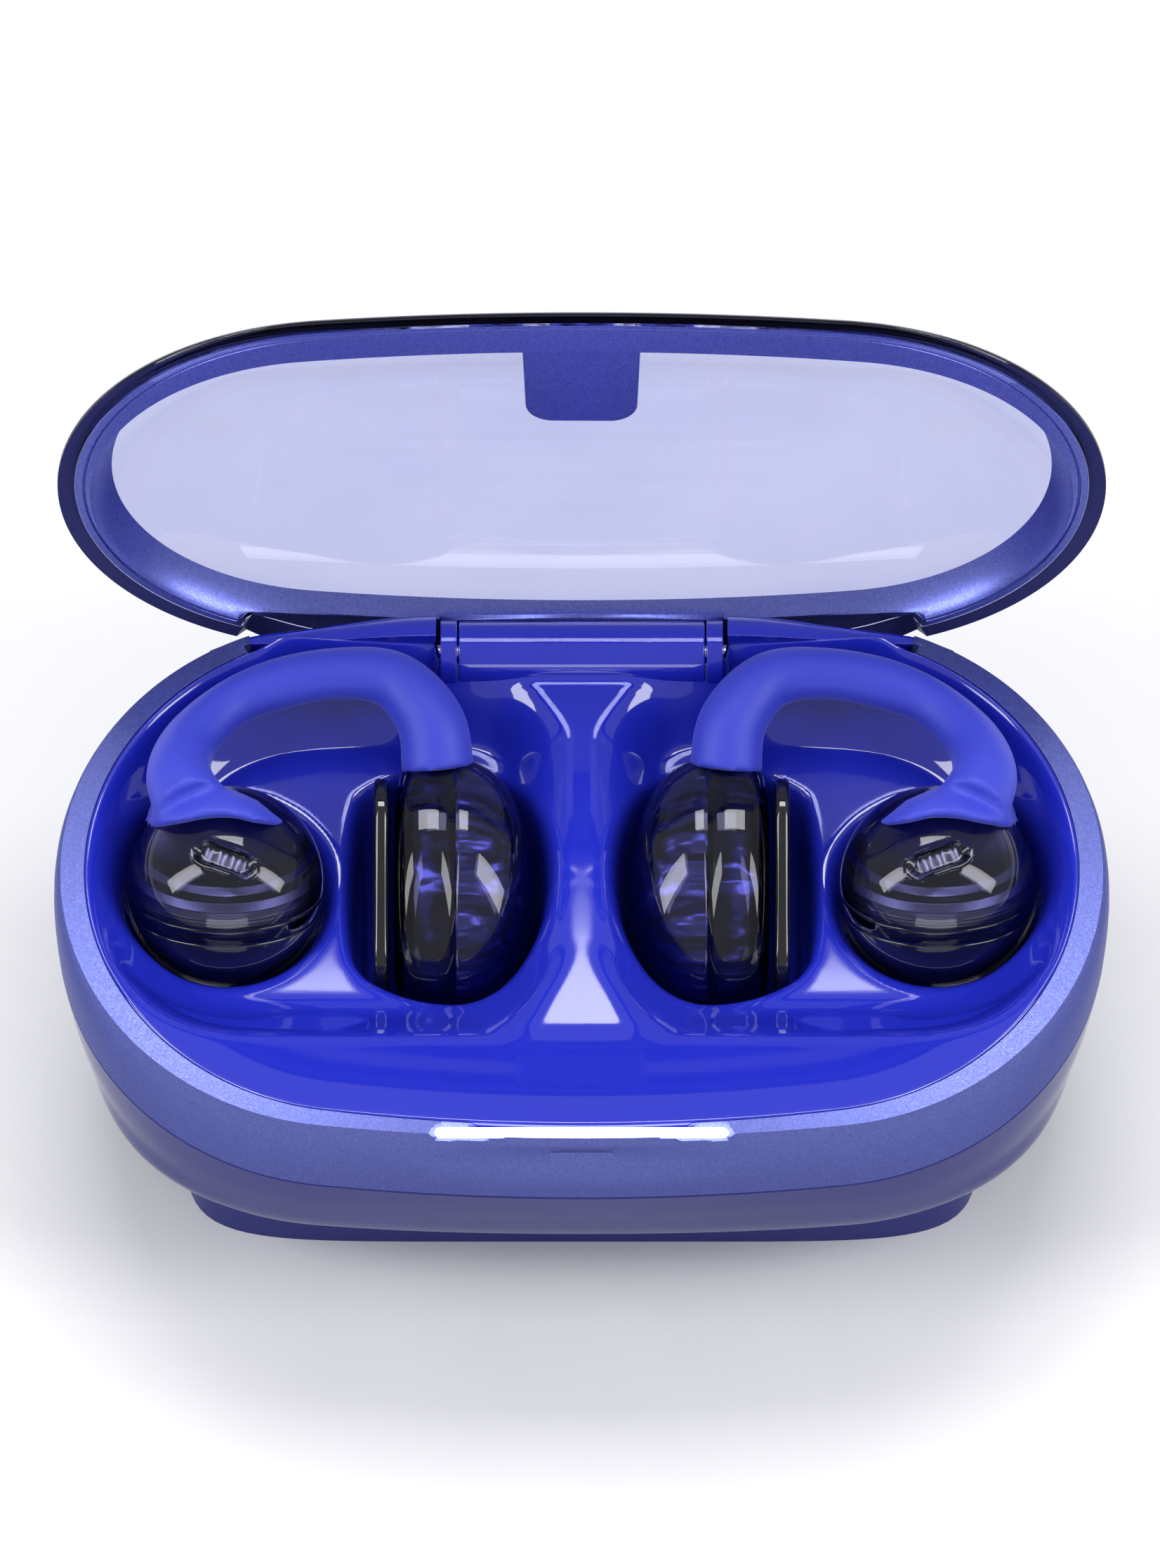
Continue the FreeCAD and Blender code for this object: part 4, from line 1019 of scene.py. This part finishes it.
# ---------------------------------------------------------------- lid
@dataclass
class Lid:
    """The see-through lid, made shut and swung open about the hinge."""

    palette: Palette
    hinge: Vector
    outline: Oval = Oval(37.0, 21.6, 20.7)
    foot: float = 28.15
    open_angle: float = 93.6
    wall: float = 1.2
    relief: float = 2.9
    relief_reach: float = 23.9
    dome_steps: tuple = ((0.0, 0.0, 0.0, 0.0), (0.02, 0.0, 0.0, 0.35), (1.8, 0.25, 0.35, 1.5),
                         (4.4, 0.9, 1.1, 3.0), (7.1, 2.1, 2.4, 4.5), (9.8, 4.0, 4.4, 6.0),
                         (12.4, 6.4, 7.0, 7.2), (15.0, 9.2, 10.4, 8.0), (17.8, 12.4, 14.5, 8.5),
                         (19.9, 15.2, 18.5, 8.7))
    mouth: Oval = Oval(34.7, 18.3, 17.2, 0.0, 1.2)
    window: Oval = Oval(33.2, 17.2, 16.1, 0.0, 0.9)
    window_height: float = 2.5
    strip_reach: float = 10.1
    strip_near: float = 2.36
    strip_far: float = 2.85
    strip_angles: Span = (16.0, 112.0)
    cheek_middle: float = 9.45
    cheek_half: float = 0.6
    cheek_radius: float = 2.34

    def build(self) -> None:
        """Makes every piece of the lid."""
        self.make_dome()
        self.make_liner()
        self.make_tab()
        self.make_knuckle()

    def swing(self, thing: bpy.types.Object, relief: bool = True) -> None:
        """Turns a shut piece to its open place.

        Args:
            thing: the piece.
            relief: whether it first makes room for the hinge's shoulders.
        """
        for vert in thing.data.vertices if relief else ():
            x, y, z = (value / MM for value in vert.co)
            out = math.hypot(y - self.hinge.y, z - self.hinge.z)
            if abs(x) < self.relief_reach and out < self.relief:
                grow = self.relief / max(out, 1e-3)
                vert.co.y = (self.hinge.y + (y - self.hinge.y) * grow) * MM
                vert.co.z = (self.hinge.z + (z - self.hinge.z) * grow) * MM
        axis = self.hinge * MM
        turn = Matrix.Rotation(-math.radians(self.open_angle), 4, "X")
        thing.data.transform(Matrix.Translation(axis) @ turn @ Matrix.Translation(-axis))

    def dome_level(self, share: float, inset: float = 0.0, drop: float = 0.0) -> Oval:
        """A level line of the dome.

        Args:
            share: how far up the dome's side, from 0 to 1.
            inset: how far inside the skin.
            drop: how far below it.

        Returns:
            The oval.
        """
        front, back, side, rise = along(self.dome_steps, share)
        middle = (front + back) / 2 + inset
        return Oval(self.outline.length - side - inset, self.outline.depth - middle,
                    self.outline.end - middle, self.foot + rise - drop, (front - back) / 2)

    def make_dome(self) -> None:
        """The clear dome with its dark edge."""
        rows = 40

        def shape(around: float, up: float) -> Vector:
            """The pillow's skin, closed along its middle line."""
            level = self.dome_level(min(1.0, up * (rows + 1) / rows))
            point = level.point(around)
            if up > 1 - 0.5 / rows:
                point.y = level.back
            return point

        mesh = patch(shape, 260, rows)
        face_out(mesh, up=True)
        thing = piece("lid_window", mesh, "lid", self.palette.window, self.palette.navy,
                      slot="lid_tint", replaces=["lid_dome"])
        thicken(thing, self.wall, 1)
        settle(thing)
        for vert in thing.data.vertices:
            vert.co.z = max(vert.co.z, self.foot * MM)
        self.swing(thing)
        bevel(thing, 0.16, 3, 40.0)

    def make_liner(self) -> None:
        """The metallic ring inside the lid: thin foot, seam and hollow wall."""
        gap = self.wall + 0.06
        seam = ((0.0, 0.02), (0.5, 0.0), (0.56, 0.14), (0.64, 0.14), (0.7, 0.02))
        foot = [self.outline.grown(-gap - inset, self.foot + rise) for inset, rise in seam]
        mouth, window, steps = self.mouth, self.window, 12
        hollow = []
        for share in (step / steps for step in range(steps + 1)):
            bend = share**1.5
            hollow.append(Oval(mix(mouth.length, window.length, bend),
                               mix(mouth.depth, window.depth, bend),
                               mix(mouth.end, window.end, bend),
                               self.foot + self.window_height * share,
                               mix(mouth.back, window.back, bend)))
        outer = [self.dome_level(0.27 * share, gap, 0.3 * share) for share in (1.0, 0.6, 0.25)]
        mesh = rings(foot + hollow + outer, columns=260)
        face_out(mesh)
        thing = piece("lid_inner_ring", mesh, "lid", self.palette.liner, slot="trim_metallic",
                      replaces=["lid_liner"])
        self.swing(thing)
        bevel(thing, 0.05, 2, 30.0)

    def make_knuckle(self) -> None:
        """The metallic knuckle: a curved strip round the roll, with a cheek at each end."""
        y, z = self.hinge.y, self.hinge.z
        reach, near, far = self.strip_reach, self.strip_near, self.strip_far

        def shape(around: float, up: float) -> Vector:
            """A thick strip bent round the hinge."""
            angle = math.radians(mix(*self.strip_angles, up))
            place = around * 4
            if place < 1:
                x, out = mix(-reach, reach, place), near
            elif place < 2:
                x, out = reach, mix(near, far, place - 1)
            elif place < 3:
                x, out = mix(reach, -reach, place - 2), far
            else:
                x, out = -reach, mix(far, near, place - 3)
            return Vector((x, y + out * math.cos(angle), z + out * math.sin(angle)))

        mesh = patch(shape, 40, 24)
        for end in self.strip_angles:
            loop = [edge for edge in mesh.edges if edge.is_boundary and abs(math.degrees(
                math.atan2(edge.verts[0].co.z - z, edge.verts[0].co.y - y)) - end) < 1]
            bmesh.ops.contextual_create(mesh, geom=loop)
        face_out(mesh)
        thing = piece("lid_knuckle", mesh, "lid", self.palette.liner, slot="trim_metallic",
                      replaces=["hinge_knuckle"])
        self.swing(thing, relief=False)
        for side in Side:
            middle = side.sign * self.cheek_middle
            mesh = rod((middle - self.cheek_half, middle + self.cheek_half), y, z,
                       self.cheek_radius)
            face_out(mesh)
            thing = piece(side.named("lid_cheek"), mesh, "lid", self.palette.tray,
                          slot="tray_gloss")
            self.swing(thing, relief=False)
            bevel(thing, 0.1)

    def make_tab(self) -> None:
        """The latch tab, slightly tapered, with two round corners."""
        mesh = bar((-4.2, 4.2), (-17.9, -7.9), (self.foot + 0.25, self.foot + 1.75), 0.05, 1)
        bmesh.ops.remove_doubles(mesh, verts=mesh.verts, dist=0.2)
        tip = [edge for edge in mesh.edges if abs(edge.verts[0].co.z - edge.verts[1].co.z) > 0.5
               and edge.verts[0].co.y > -8.5]
        for vert in mesh.verts:
            if vert.co.y > -10:
                vert.co.x *= 0.93
        round_corners(mesh, tip, 1.9, 10)
        face_out(mesh)
        thing = piece("lid_latch_tab", mesh, "lid", self.palette.liner, slot="trim_metallic",
                      replaces=["latch_tab"])
        self.swing(thing)
        bevel(thing, 0.16, 4)


# ---------------------------------------------------------------- earbuds
@dataclass
class Earbud:
    """One clip earbud: a battery pod and a speaker ball joined by a soft bridge."""

    palette: Palette
    side: Side
    pod: Vector = field(default_factory=lambda: Vector(POD_CENTRE))
    pod_tilt: float = POD_TILT
    pod_axes: tuple = (5.75, 9.2, 5.75)
    pod_wall: float = 0.8
    pod_face: float = 4.4
    speaker: Vector = field(default_factory=lambda: Vector(BALL_CENTRE))
    speaker_radius: float = 7.0
    speaker_wall: float = 0.9
    speaker_lean: float = 34.8
    bridge: tuple = ((10.2, 8.9, 26.6, 2.6), (10.7, 12.0, 28.2, 2.45), (13.2, 15.0, 28.8, 2.1),
                     (17.0, 15.6, 28.9, 1.85), (21.3, 14.9, 28.7, 1.85), (24.9, 13.3, 28.5, 1.75),
                     (27.7, 10.0, 29.0, 2.0), (28.5, 6.6, 30.0, 2.35), (27.6, 3.9, 30.5, 2.6))
    wire_radius: float = 0.5
    wire_rows: int = 8
    pad_outline: tuple = ((5.6, 3.9), (6.0, 5.2), (5.9, 6.9), (4.6, 8.0), (2.6, 8.0), (0.9, 7.4),
                          (-0.6, 6.8), (-2.4, 6.0), (-3.7, 5.0), (-4.3, 4.4), (-3.9, 4.0),
                          (-2.4, 4.2), (-0.6, 4.6), (1.6, 4.5), (3.6, 4.1))
    pad_centre: Span = (0.9, 5.6)
    pad_lean: float = 29.5
    slot_size: Span = (3.9, 1.25)
    driver_steps: tuple = ((0.0, 2.4), (3.0, 2.4), (4.4, 1.9), (4.7, 1.4), (5.6, 1.3), (5.8, 0.6),
                           (5.2, 0.5), (5.2, -0.1), (5.9, -0.2), (5.9, -0.9), (5.0, -1.1),
                           (4.6, -1.5), (0.0, -1.5))

    def build(self) -> None:
        """Makes every piece of the earbud."""
        self.make_pod()
        self.make_button()
        self.make_speaker()
        self.make_bridge()

    def turned(self, mesh: bmesh.types.BMesh, place: Matrix) -> bmesh.types.BMesh:
        """Moves a right-hand mesh to its place, mirrored for the left earbud."""
        bmesh.ops.transform(mesh, verts=mesh.verts, matrix=place)
        if self.side is Side.LEFT:
            bmesh.ops.scale(mesh, vec=(-1, 1, 1), verts=mesh.verts)
        face_out(mesh)
        return mesh

    @property
    def pod_place(self) -> Matrix:
        """From the pod's own frame to the object's."""
        return Matrix.Translation(self.pod) @ Matrix.Rotation(math.radians(self.pod_tilt), 4, "X")

    @property
    def speaker_place(self) -> Matrix:
        """From the speaker's own frame to the object's."""
        lean = Matrix.Rotation(-math.radians(self.speaker_lean), 4, "X")
        return Matrix.Translation(self.speaker) @ lean

    def pod_half(self, inward: bool) -> bmesh.types.BMesh:
        """Half of the pod's skin with its wall.

        Args:
            inward: whether it is the domed half; the other one has the flat face.

        Returns:
            The mesh, in the pod's own frame.
        """
        wide, long, deep = self.pod_axes

        def skin(around: float, up: float, inset: float) -> Vector:
            """A point on the skin: round the pod's rim, and up to the middle of its face."""
            angle, rise = 2 * math.pi * around, up * math.pi / 2
            power = 1.0 if inward else 0.36
            spread, height = math.cos(rise) ** power, math.sin(rise) ** power
            x = -(wide - inset) * height if inward else (self.pod_face - inset) * height
            return Vector((x, (long - inset) * spread * math.cos(angle),
                           (deep - inset) * spread * math.sin(angle)))

        mesh = join(patch(lambda around, up: skin(around, up, 0.0), 96, 26),
                    patch(lambda around, up: skin(around, up, self.pod_wall), 96, 26))
        bmesh.ops.bridge_loops(mesh, edges=[edge for edge in mesh.edges if edge.is_boundary])
        return mesh

    def make_pod(self) -> None:
        """The pod's two clear shells and the works that show through them."""
        body = self.side.named("pod")
        for inward, node in ((True, "pod_inner_shell"), (False, "pod_outer_shell")):
            mesh = self.turned(self.pod_half(inward), self.pod_place)
            piece(self.side.named(node.replace("_shell", "_cover")), mesh, body, self.palette.smoky,
                  slot="smoky_shell", replaces=[self.side.named(node)])
        mesh = bmesh.new()
        bmesh.ops.create_uvsphere(mesh, u_segments=48, v_segments=24, radius=1.0)
        wide, long, deep = (value - self.pod_wall - 0.5 for value in self.pod_axes)
        for vert in mesh.verts:
            x, y, z = vert.co
            ribs = 1 - 0.08 * math.cos(8 * y)
            vert.co = Vector((min(x * wide, self.pod_face - 1.6), y * long, z * deep * ribs))
        mesh = self.turned(mesh, self.pod_place)
        piece(self.side.named("pod_carrier"), mesh, body, self.palette.works, slot="button_black")

    def make_button(self) -> None:
        """The long black plate on the pod's outer face."""
        low, high = self.pod_face + 0.35, self.pod_face + 1.45
        mesh = bar((low, high), (-7.7, 7.7), (-4.1, 4.1), 0.02, 1)
        bmesh.ops.remove_doubles(mesh, verts=mesh.verts, dist=0.1)
        corners = [edge for edge in mesh.edges
                   if abs(edge.verts[0].co.x - edge.verts[1].co.x) > 0.5]
        round_corners(mesh, corners, 3.0, 12)
        mesh = self.turned(mesh, self.pod_place)
        thing = piece(self.side.named("press_plate"), mesh, self.side.named("button"),
                      self.palette.black, slot="button_black",
                      replaces=[self.side.named("button_plate")])
        bevel(thing, 0.4, 5)

    def ball_skin(self, low: float, high: float, rows: int) -> bmesh.types.BMesh:
        """A band of the ball with an even wall.

        Args:
            low: its lower height on the ball's own axis.
            high: its upper height.
            rows: faces from one to the other.

        Returns:
            The mesh, in the ball's own frame.
        """
        radius, wall = self.speaker_radius, self.speaker_wall

        def angle(level: float, size: float) -> float:
            """The angle from the axis of a height on the ball."""
            return math.acos(max(-1.0, min(1.0, level / size)))

        def skin(around: float, up: float, size: float) -> Vector:
            """A point on a ball of a size."""
            polar = mix(angle(low, size), angle(high, size), up)
            turn = 2 * math.pi * around
            return Vector((size * math.sin(polar) * math.cos(turn),
                           size * math.sin(polar) * math.sin(turn), size * math.cos(polar)))

        mesh = join(patch(lambda around, up: skin(around, up, radius), 128, rows),
                    patch(lambda around, up: skin(around, up, radius - wall), 128, rows))
        for level in (low, high):
            loop = [edge for edge in mesh.edges if edge.is_boundary
                    and all(abs(vert.co.z - level) < 0.12 for vert in edge.verts)]
            if loop:
                bmesh.ops.bridge_loops(mesh, edges=loop)
        return mesh

    def make_speaker(self) -> None:
        """The ball: clear top with the sound slot, ring, cap, and the driver inside."""
        body, place = self.side.named("speaker"), self.speaker_place
        radius, (slot_long, slot_wide) = self.speaker_radius, self.slot_size
        slot_turn = (Matrix.Rotation(math.radians(48.0), 4, "X")
                     @ Matrix.Rotation(math.radians(20.0), 4, "Z"))
        smoky, black, steel = self.palette.smoky, self.palette.black, self.palette.steel
        parts = (("ball_top", "speaker_shell", (-0.3, radius), 60, smoky, "smoky_shell"),
                 ("ball_ring", "speaker_ring", (-1.6, -0.32), 6, smoky, "speaker_ring"),
                 ("ball_cap", "speaker_cap", (-radius, -1.62), 40, black, "button_black"))
        for part, node, (low, high), rows, finish, slot in parts:
            mesh = self.ball_skin(low, high, rows)
            if part == "ball_top":
                self.dent(mesh, slot_turn)
            piece(self.side.named(part), self.turned(mesh, place), body, finish, slot=slot,
                  replaces=[self.side.named(node)])
        last = len(self.driver_steps) - 1

        def basket(around: float, up: float) -> Vector:
            """A point on the turned driver."""
            out, height = self.driver_steps[round(up * last)]
            return Matrix.Rotation(2 * math.pi * around, 3, "Z") @ Vector((out, 0, height))

        def grille(across: float, up: float) -> Vector:
            """A point on the bowed mesh behind the sound slot, with its fine ribs."""
            x, y = (across - 0.5) * slot_long, (up - 0.5) * slot_wide
            ribs = 0.1 * math.cos(across * 8 * math.pi)
            return slot_turn @ Vector((x, y, math.sqrt(36.6 - x**2 - y**2) - ribs))

        driver = self.turned(patch(basket, 72, last), place)
        thing = piece(self.side.named("driver_basket"), driver, body, steel, slot="steel",
                      replaces=[self.side.named("speaker_driver")])
        bevel(thing, 0.08)
        sieve = self.turned(patch(grille, 48, 10), place)
        thing = piece(self.side.named("slot_mesh"), sieve, body, steel, slot="steel",
                      replaces=[self.side.named("sound_grille")])
        thicken(thing, 0.12)

    @staticmethod
    def dent(mesh: bmesh.types.BMesh, slot_turn: Matrix) -> None:
        """Sinks the sound slot into the ball's skin."""
        for vert in mesh.verts:
            spot = slot_turn.inverted() @ vert.co
            over = math.hypot(max(abs(spot.x) - 1.35, 0), spot.y)
            if spot.z > 0:
                vert.co -= vert.co.normalized() * 0.75 * ease((1.0 - over) / 0.35)

    def tube(self, points: tuple, thick: Optional[float] = None) -> bmesh.types.BMesh:
        """A closed tube along the bridge.

        Args:
            points: the rows of the bridge that it goes through.
            thick: its radius; without one it takes each row's own.

        Returns:
            The mesh, in millimetres.
        """
        rows = 60

        def shape(around: float, up: float) -> Vector:
            """A point on the tube, its ends closed."""
            share = min(max((up * (rows + 2) - 1) / rows, 0.0), 1.0)
            x, y, z, radius = along(points, share)
            ahead, behind = along(points, share + 0.01)[:3], along(points, share - 0.01)[:3]
            heading = (Vector(ahead) - Vector(behind)).normalized()
            side = heading.cross(Vector((0, 0, 1))).normalized()
            over = side.cross(heading)
            size = 0.0 if up in (0.0, 1.0) else thick or radius
            turn = 2 * math.pi * around
            return Vector((x, y, z)) + (side * math.cos(turn) + over * math.sin(turn)) * size

        return patch(shape, 40, rows + 2)

    def saddle(self) -> bmesh.types.BMesh:
        """The soft pad that hugs the ball, wide at the heel and drawn out to a toe."""
        lean = Matrix.Rotation(math.radians(self.pad_lean), 4, "X")
        outline, centre = self.pad_outline, self.pad_centre
        inner, outer = self.speaker_radius + 0.02, self.speaker_radius + 1.3

        def shape(around: float, up: float) -> Vector:
            """Spreads a disc over the outline and lifts it on to the ball."""
            place = (around * len(outline)) % len(outline)
            index = int(place)
            near = [outline[(index + step) % len(outline)] for step in (-1, 0, 1, 2)]
            spot = along(near, (1 + place - index) / 3)
            share = 1 - abs(2 * up - 1)
            x, y = mix(centre[0], spot[0], share), mix(centre[1], spot[1], share)
            size = mix(inner, outer, ease(1 - share**4)) if up > 0.5 else inner
            depth = size**2 - x * x - y * y
            return Vector((x, y, math.sqrt(depth) if depth > 0 else -0.6))

        mesh = patch(shape, 90, 24)
        bmesh.ops.transform(mesh, verts=mesh.verts, matrix=Matrix.Translation(self.speaker) @ lean)
        return mesh

    def make_bridge(self) -> None:
        """The silicone bridge, grown together with its saddle, and the spring wire inside."""
        body_a, body_b = self.side.named("pod"), self.side.named("speaker")
        mesh = join(self.tube(self.bridge), self.saddle())
        face_out(mesh)
        thing = piece(self.side.named("soft_bridge"), mesh, None, self.palette.silicone,
                      slot="silicone", replaces=[self.side.named("bridge_sleeve")])
        fuse = thing.modifiers.new("grown together", "REMESH")
        fuse.mode, fuse.voxel_size, fuse.use_smooth_shade = "VOXEL", 0.24 * MM, True
        calm = thing.modifiers.new("smooth", "SMOOTH")
        calm.factor, calm.iterations = 0.5, 16
        settle(thing)
        keep_out = self.speaker_radius + 0.03
        for vert in thing.data.vertices:
            place = vert.co / MM
            away = place - self.speaker
            if away.length < keep_out:
                place = self.speaker + away.normalized() * keep_out
            if self.side is Side.LEFT:
                place.x = -place.x
            vert.co = place * MM
        if self.side is Side.LEFT:
            thing.data.flip_normals()
        for face in thing.data.polygons:
            face.use_smooth = True
        sign = self.side.sign
        start, end = (sign * 0.0150, 0.0150, 0.0288), (sign * 0.0275, 0.0100, 0.0290)
        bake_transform(thing)
        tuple(start)
        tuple(end)
        core = self.tube(self.bridge[:self.wire_rows], self.wire_radius)
        wire = piece(self.side.named("spring_wire"), self.turned(core, Matrix.Identity(4)), None,
                     self.palette.steel, slot="steel", replaces=[self.side.named("bridge_wire")])
        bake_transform(wire)
        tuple(start)
        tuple(end)


# ---------------------------------------------------------------- studio
@dataclass
class Studio:
    """A pale floor, soft lights and the camera, all in metres."""

    palette: Palette
    rim_centre: Vector = field(default_factory=lambda: Vector((0, 0, 0.028)))
    elevation: float = 60.5
    distance: float = 2.262
    lens: float = 734.5
    rise: float = 0.00615
    shift: float = -0.00012
    floor_reach: float = 3000.0
    lights: tuple = (("top light", (0.0, 0.25, 0.70), 0.42, 0.22, 2.6),
                     ("left light", (-0.50, -0.12, 0.42), 0.16, 0.5, 1.8),
                     ("right light", (0.50, -0.12, 0.42), 0.16, 0.5, 1.8),
                     ("front light", (0.0, -0.6, 0.16), 0.5, 0.12, 0.5))

    def build(self) -> None:
        """Sets the stage."""
        mesh = bmesh.new()
        bmesh.ops.create_grid(mesh, x_segments=1, y_segments=1, size=self.floor_reach)
        floor = piece("studio_floor", mesh, None, self.palette.floor)
        world = bpy.data.worlds.new("studio air")
        bpy.context.scene.world = world
        world.use_nodes = True
        air = world.node_tree.nodes["Background"]
        air.inputs["Color"].default_value = (0.97, 0.98, 1.0, 1)
        air.inputs["Strength"].default_value = 0.5
        for light in self.lights:
            self.soft_box(*light)
        self.camera()
        bpy.context.scene.view_settings.view_transform = "Standard"

    def soft_box(self, name: str, place: tuple, width: float, height: float, power: float) -> None:
        """A soft light that looks at the object.

        Args:
            name: its name.
            place: where it stands, in metres.
            width: its width.
            height: its height.
            power: its power in watts.
        """
        lamp = bpy.data.lights.new(name, "AREA")
        lamp.shape, lamp.size, lamp.size_y, lamp.energy = "RECTANGLE", width, height, power
        thing = bpy.data.objects.new(name, lamp)
        thing.location = place
        thing.rotation_euler = (self.rim_centre - Vector(place)).to_track_quat("-Z", "Y").to_euler()
        bpy.context.scene.collection.objects.link(thing)

    def camera(self) -> None:
        """The long lens that looks down at the open case."""
        lens = bpy.data.cameras.new("camera")
        lens.lens, lens.sensor_width, lens.clip_end = self.lens, 36.0, 100.0
        thing = bpy.data.objects.new("camera", lens)
        bpy.context.scene.collection.objects.link(thing)
        angle = math.radians(self.elevation)
        away = Vector((0, -math.cos(angle), math.sin(angle))) * self.distance
        thing.location = self.rim_centre + away
        aim = self.rim_centre + Vector((self.shift, math.sin(angle) * self.rise,
                                        math.cos(angle) * self.rise))
        thing.rotation_euler = (aim - thing.location).to_track_quat("-Z", "Y").to_euler()
        bpy.context.scene.camera = thing


def main() -> None:
    """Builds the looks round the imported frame, in order."""
    logging.basicConfig(level=logging.INFO, format="%(name)s: %(message)s")
    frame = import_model()
    joint = next(row for row in frame["joints"] if row["name"] == "lid_hinge")
    hinge = Vector((0, joint["pos_m"][1], joint["pos_m"][2])) / MM
    palette = Palette()
    palette.dress_frame(frame)
    Case(palette, hinge).build()
    Lid(palette, hinge).build()
    for side in Side:
        Earbud(palette, side).build()
    Studio(palette).build()


if __name__ == "__main__":
    main()
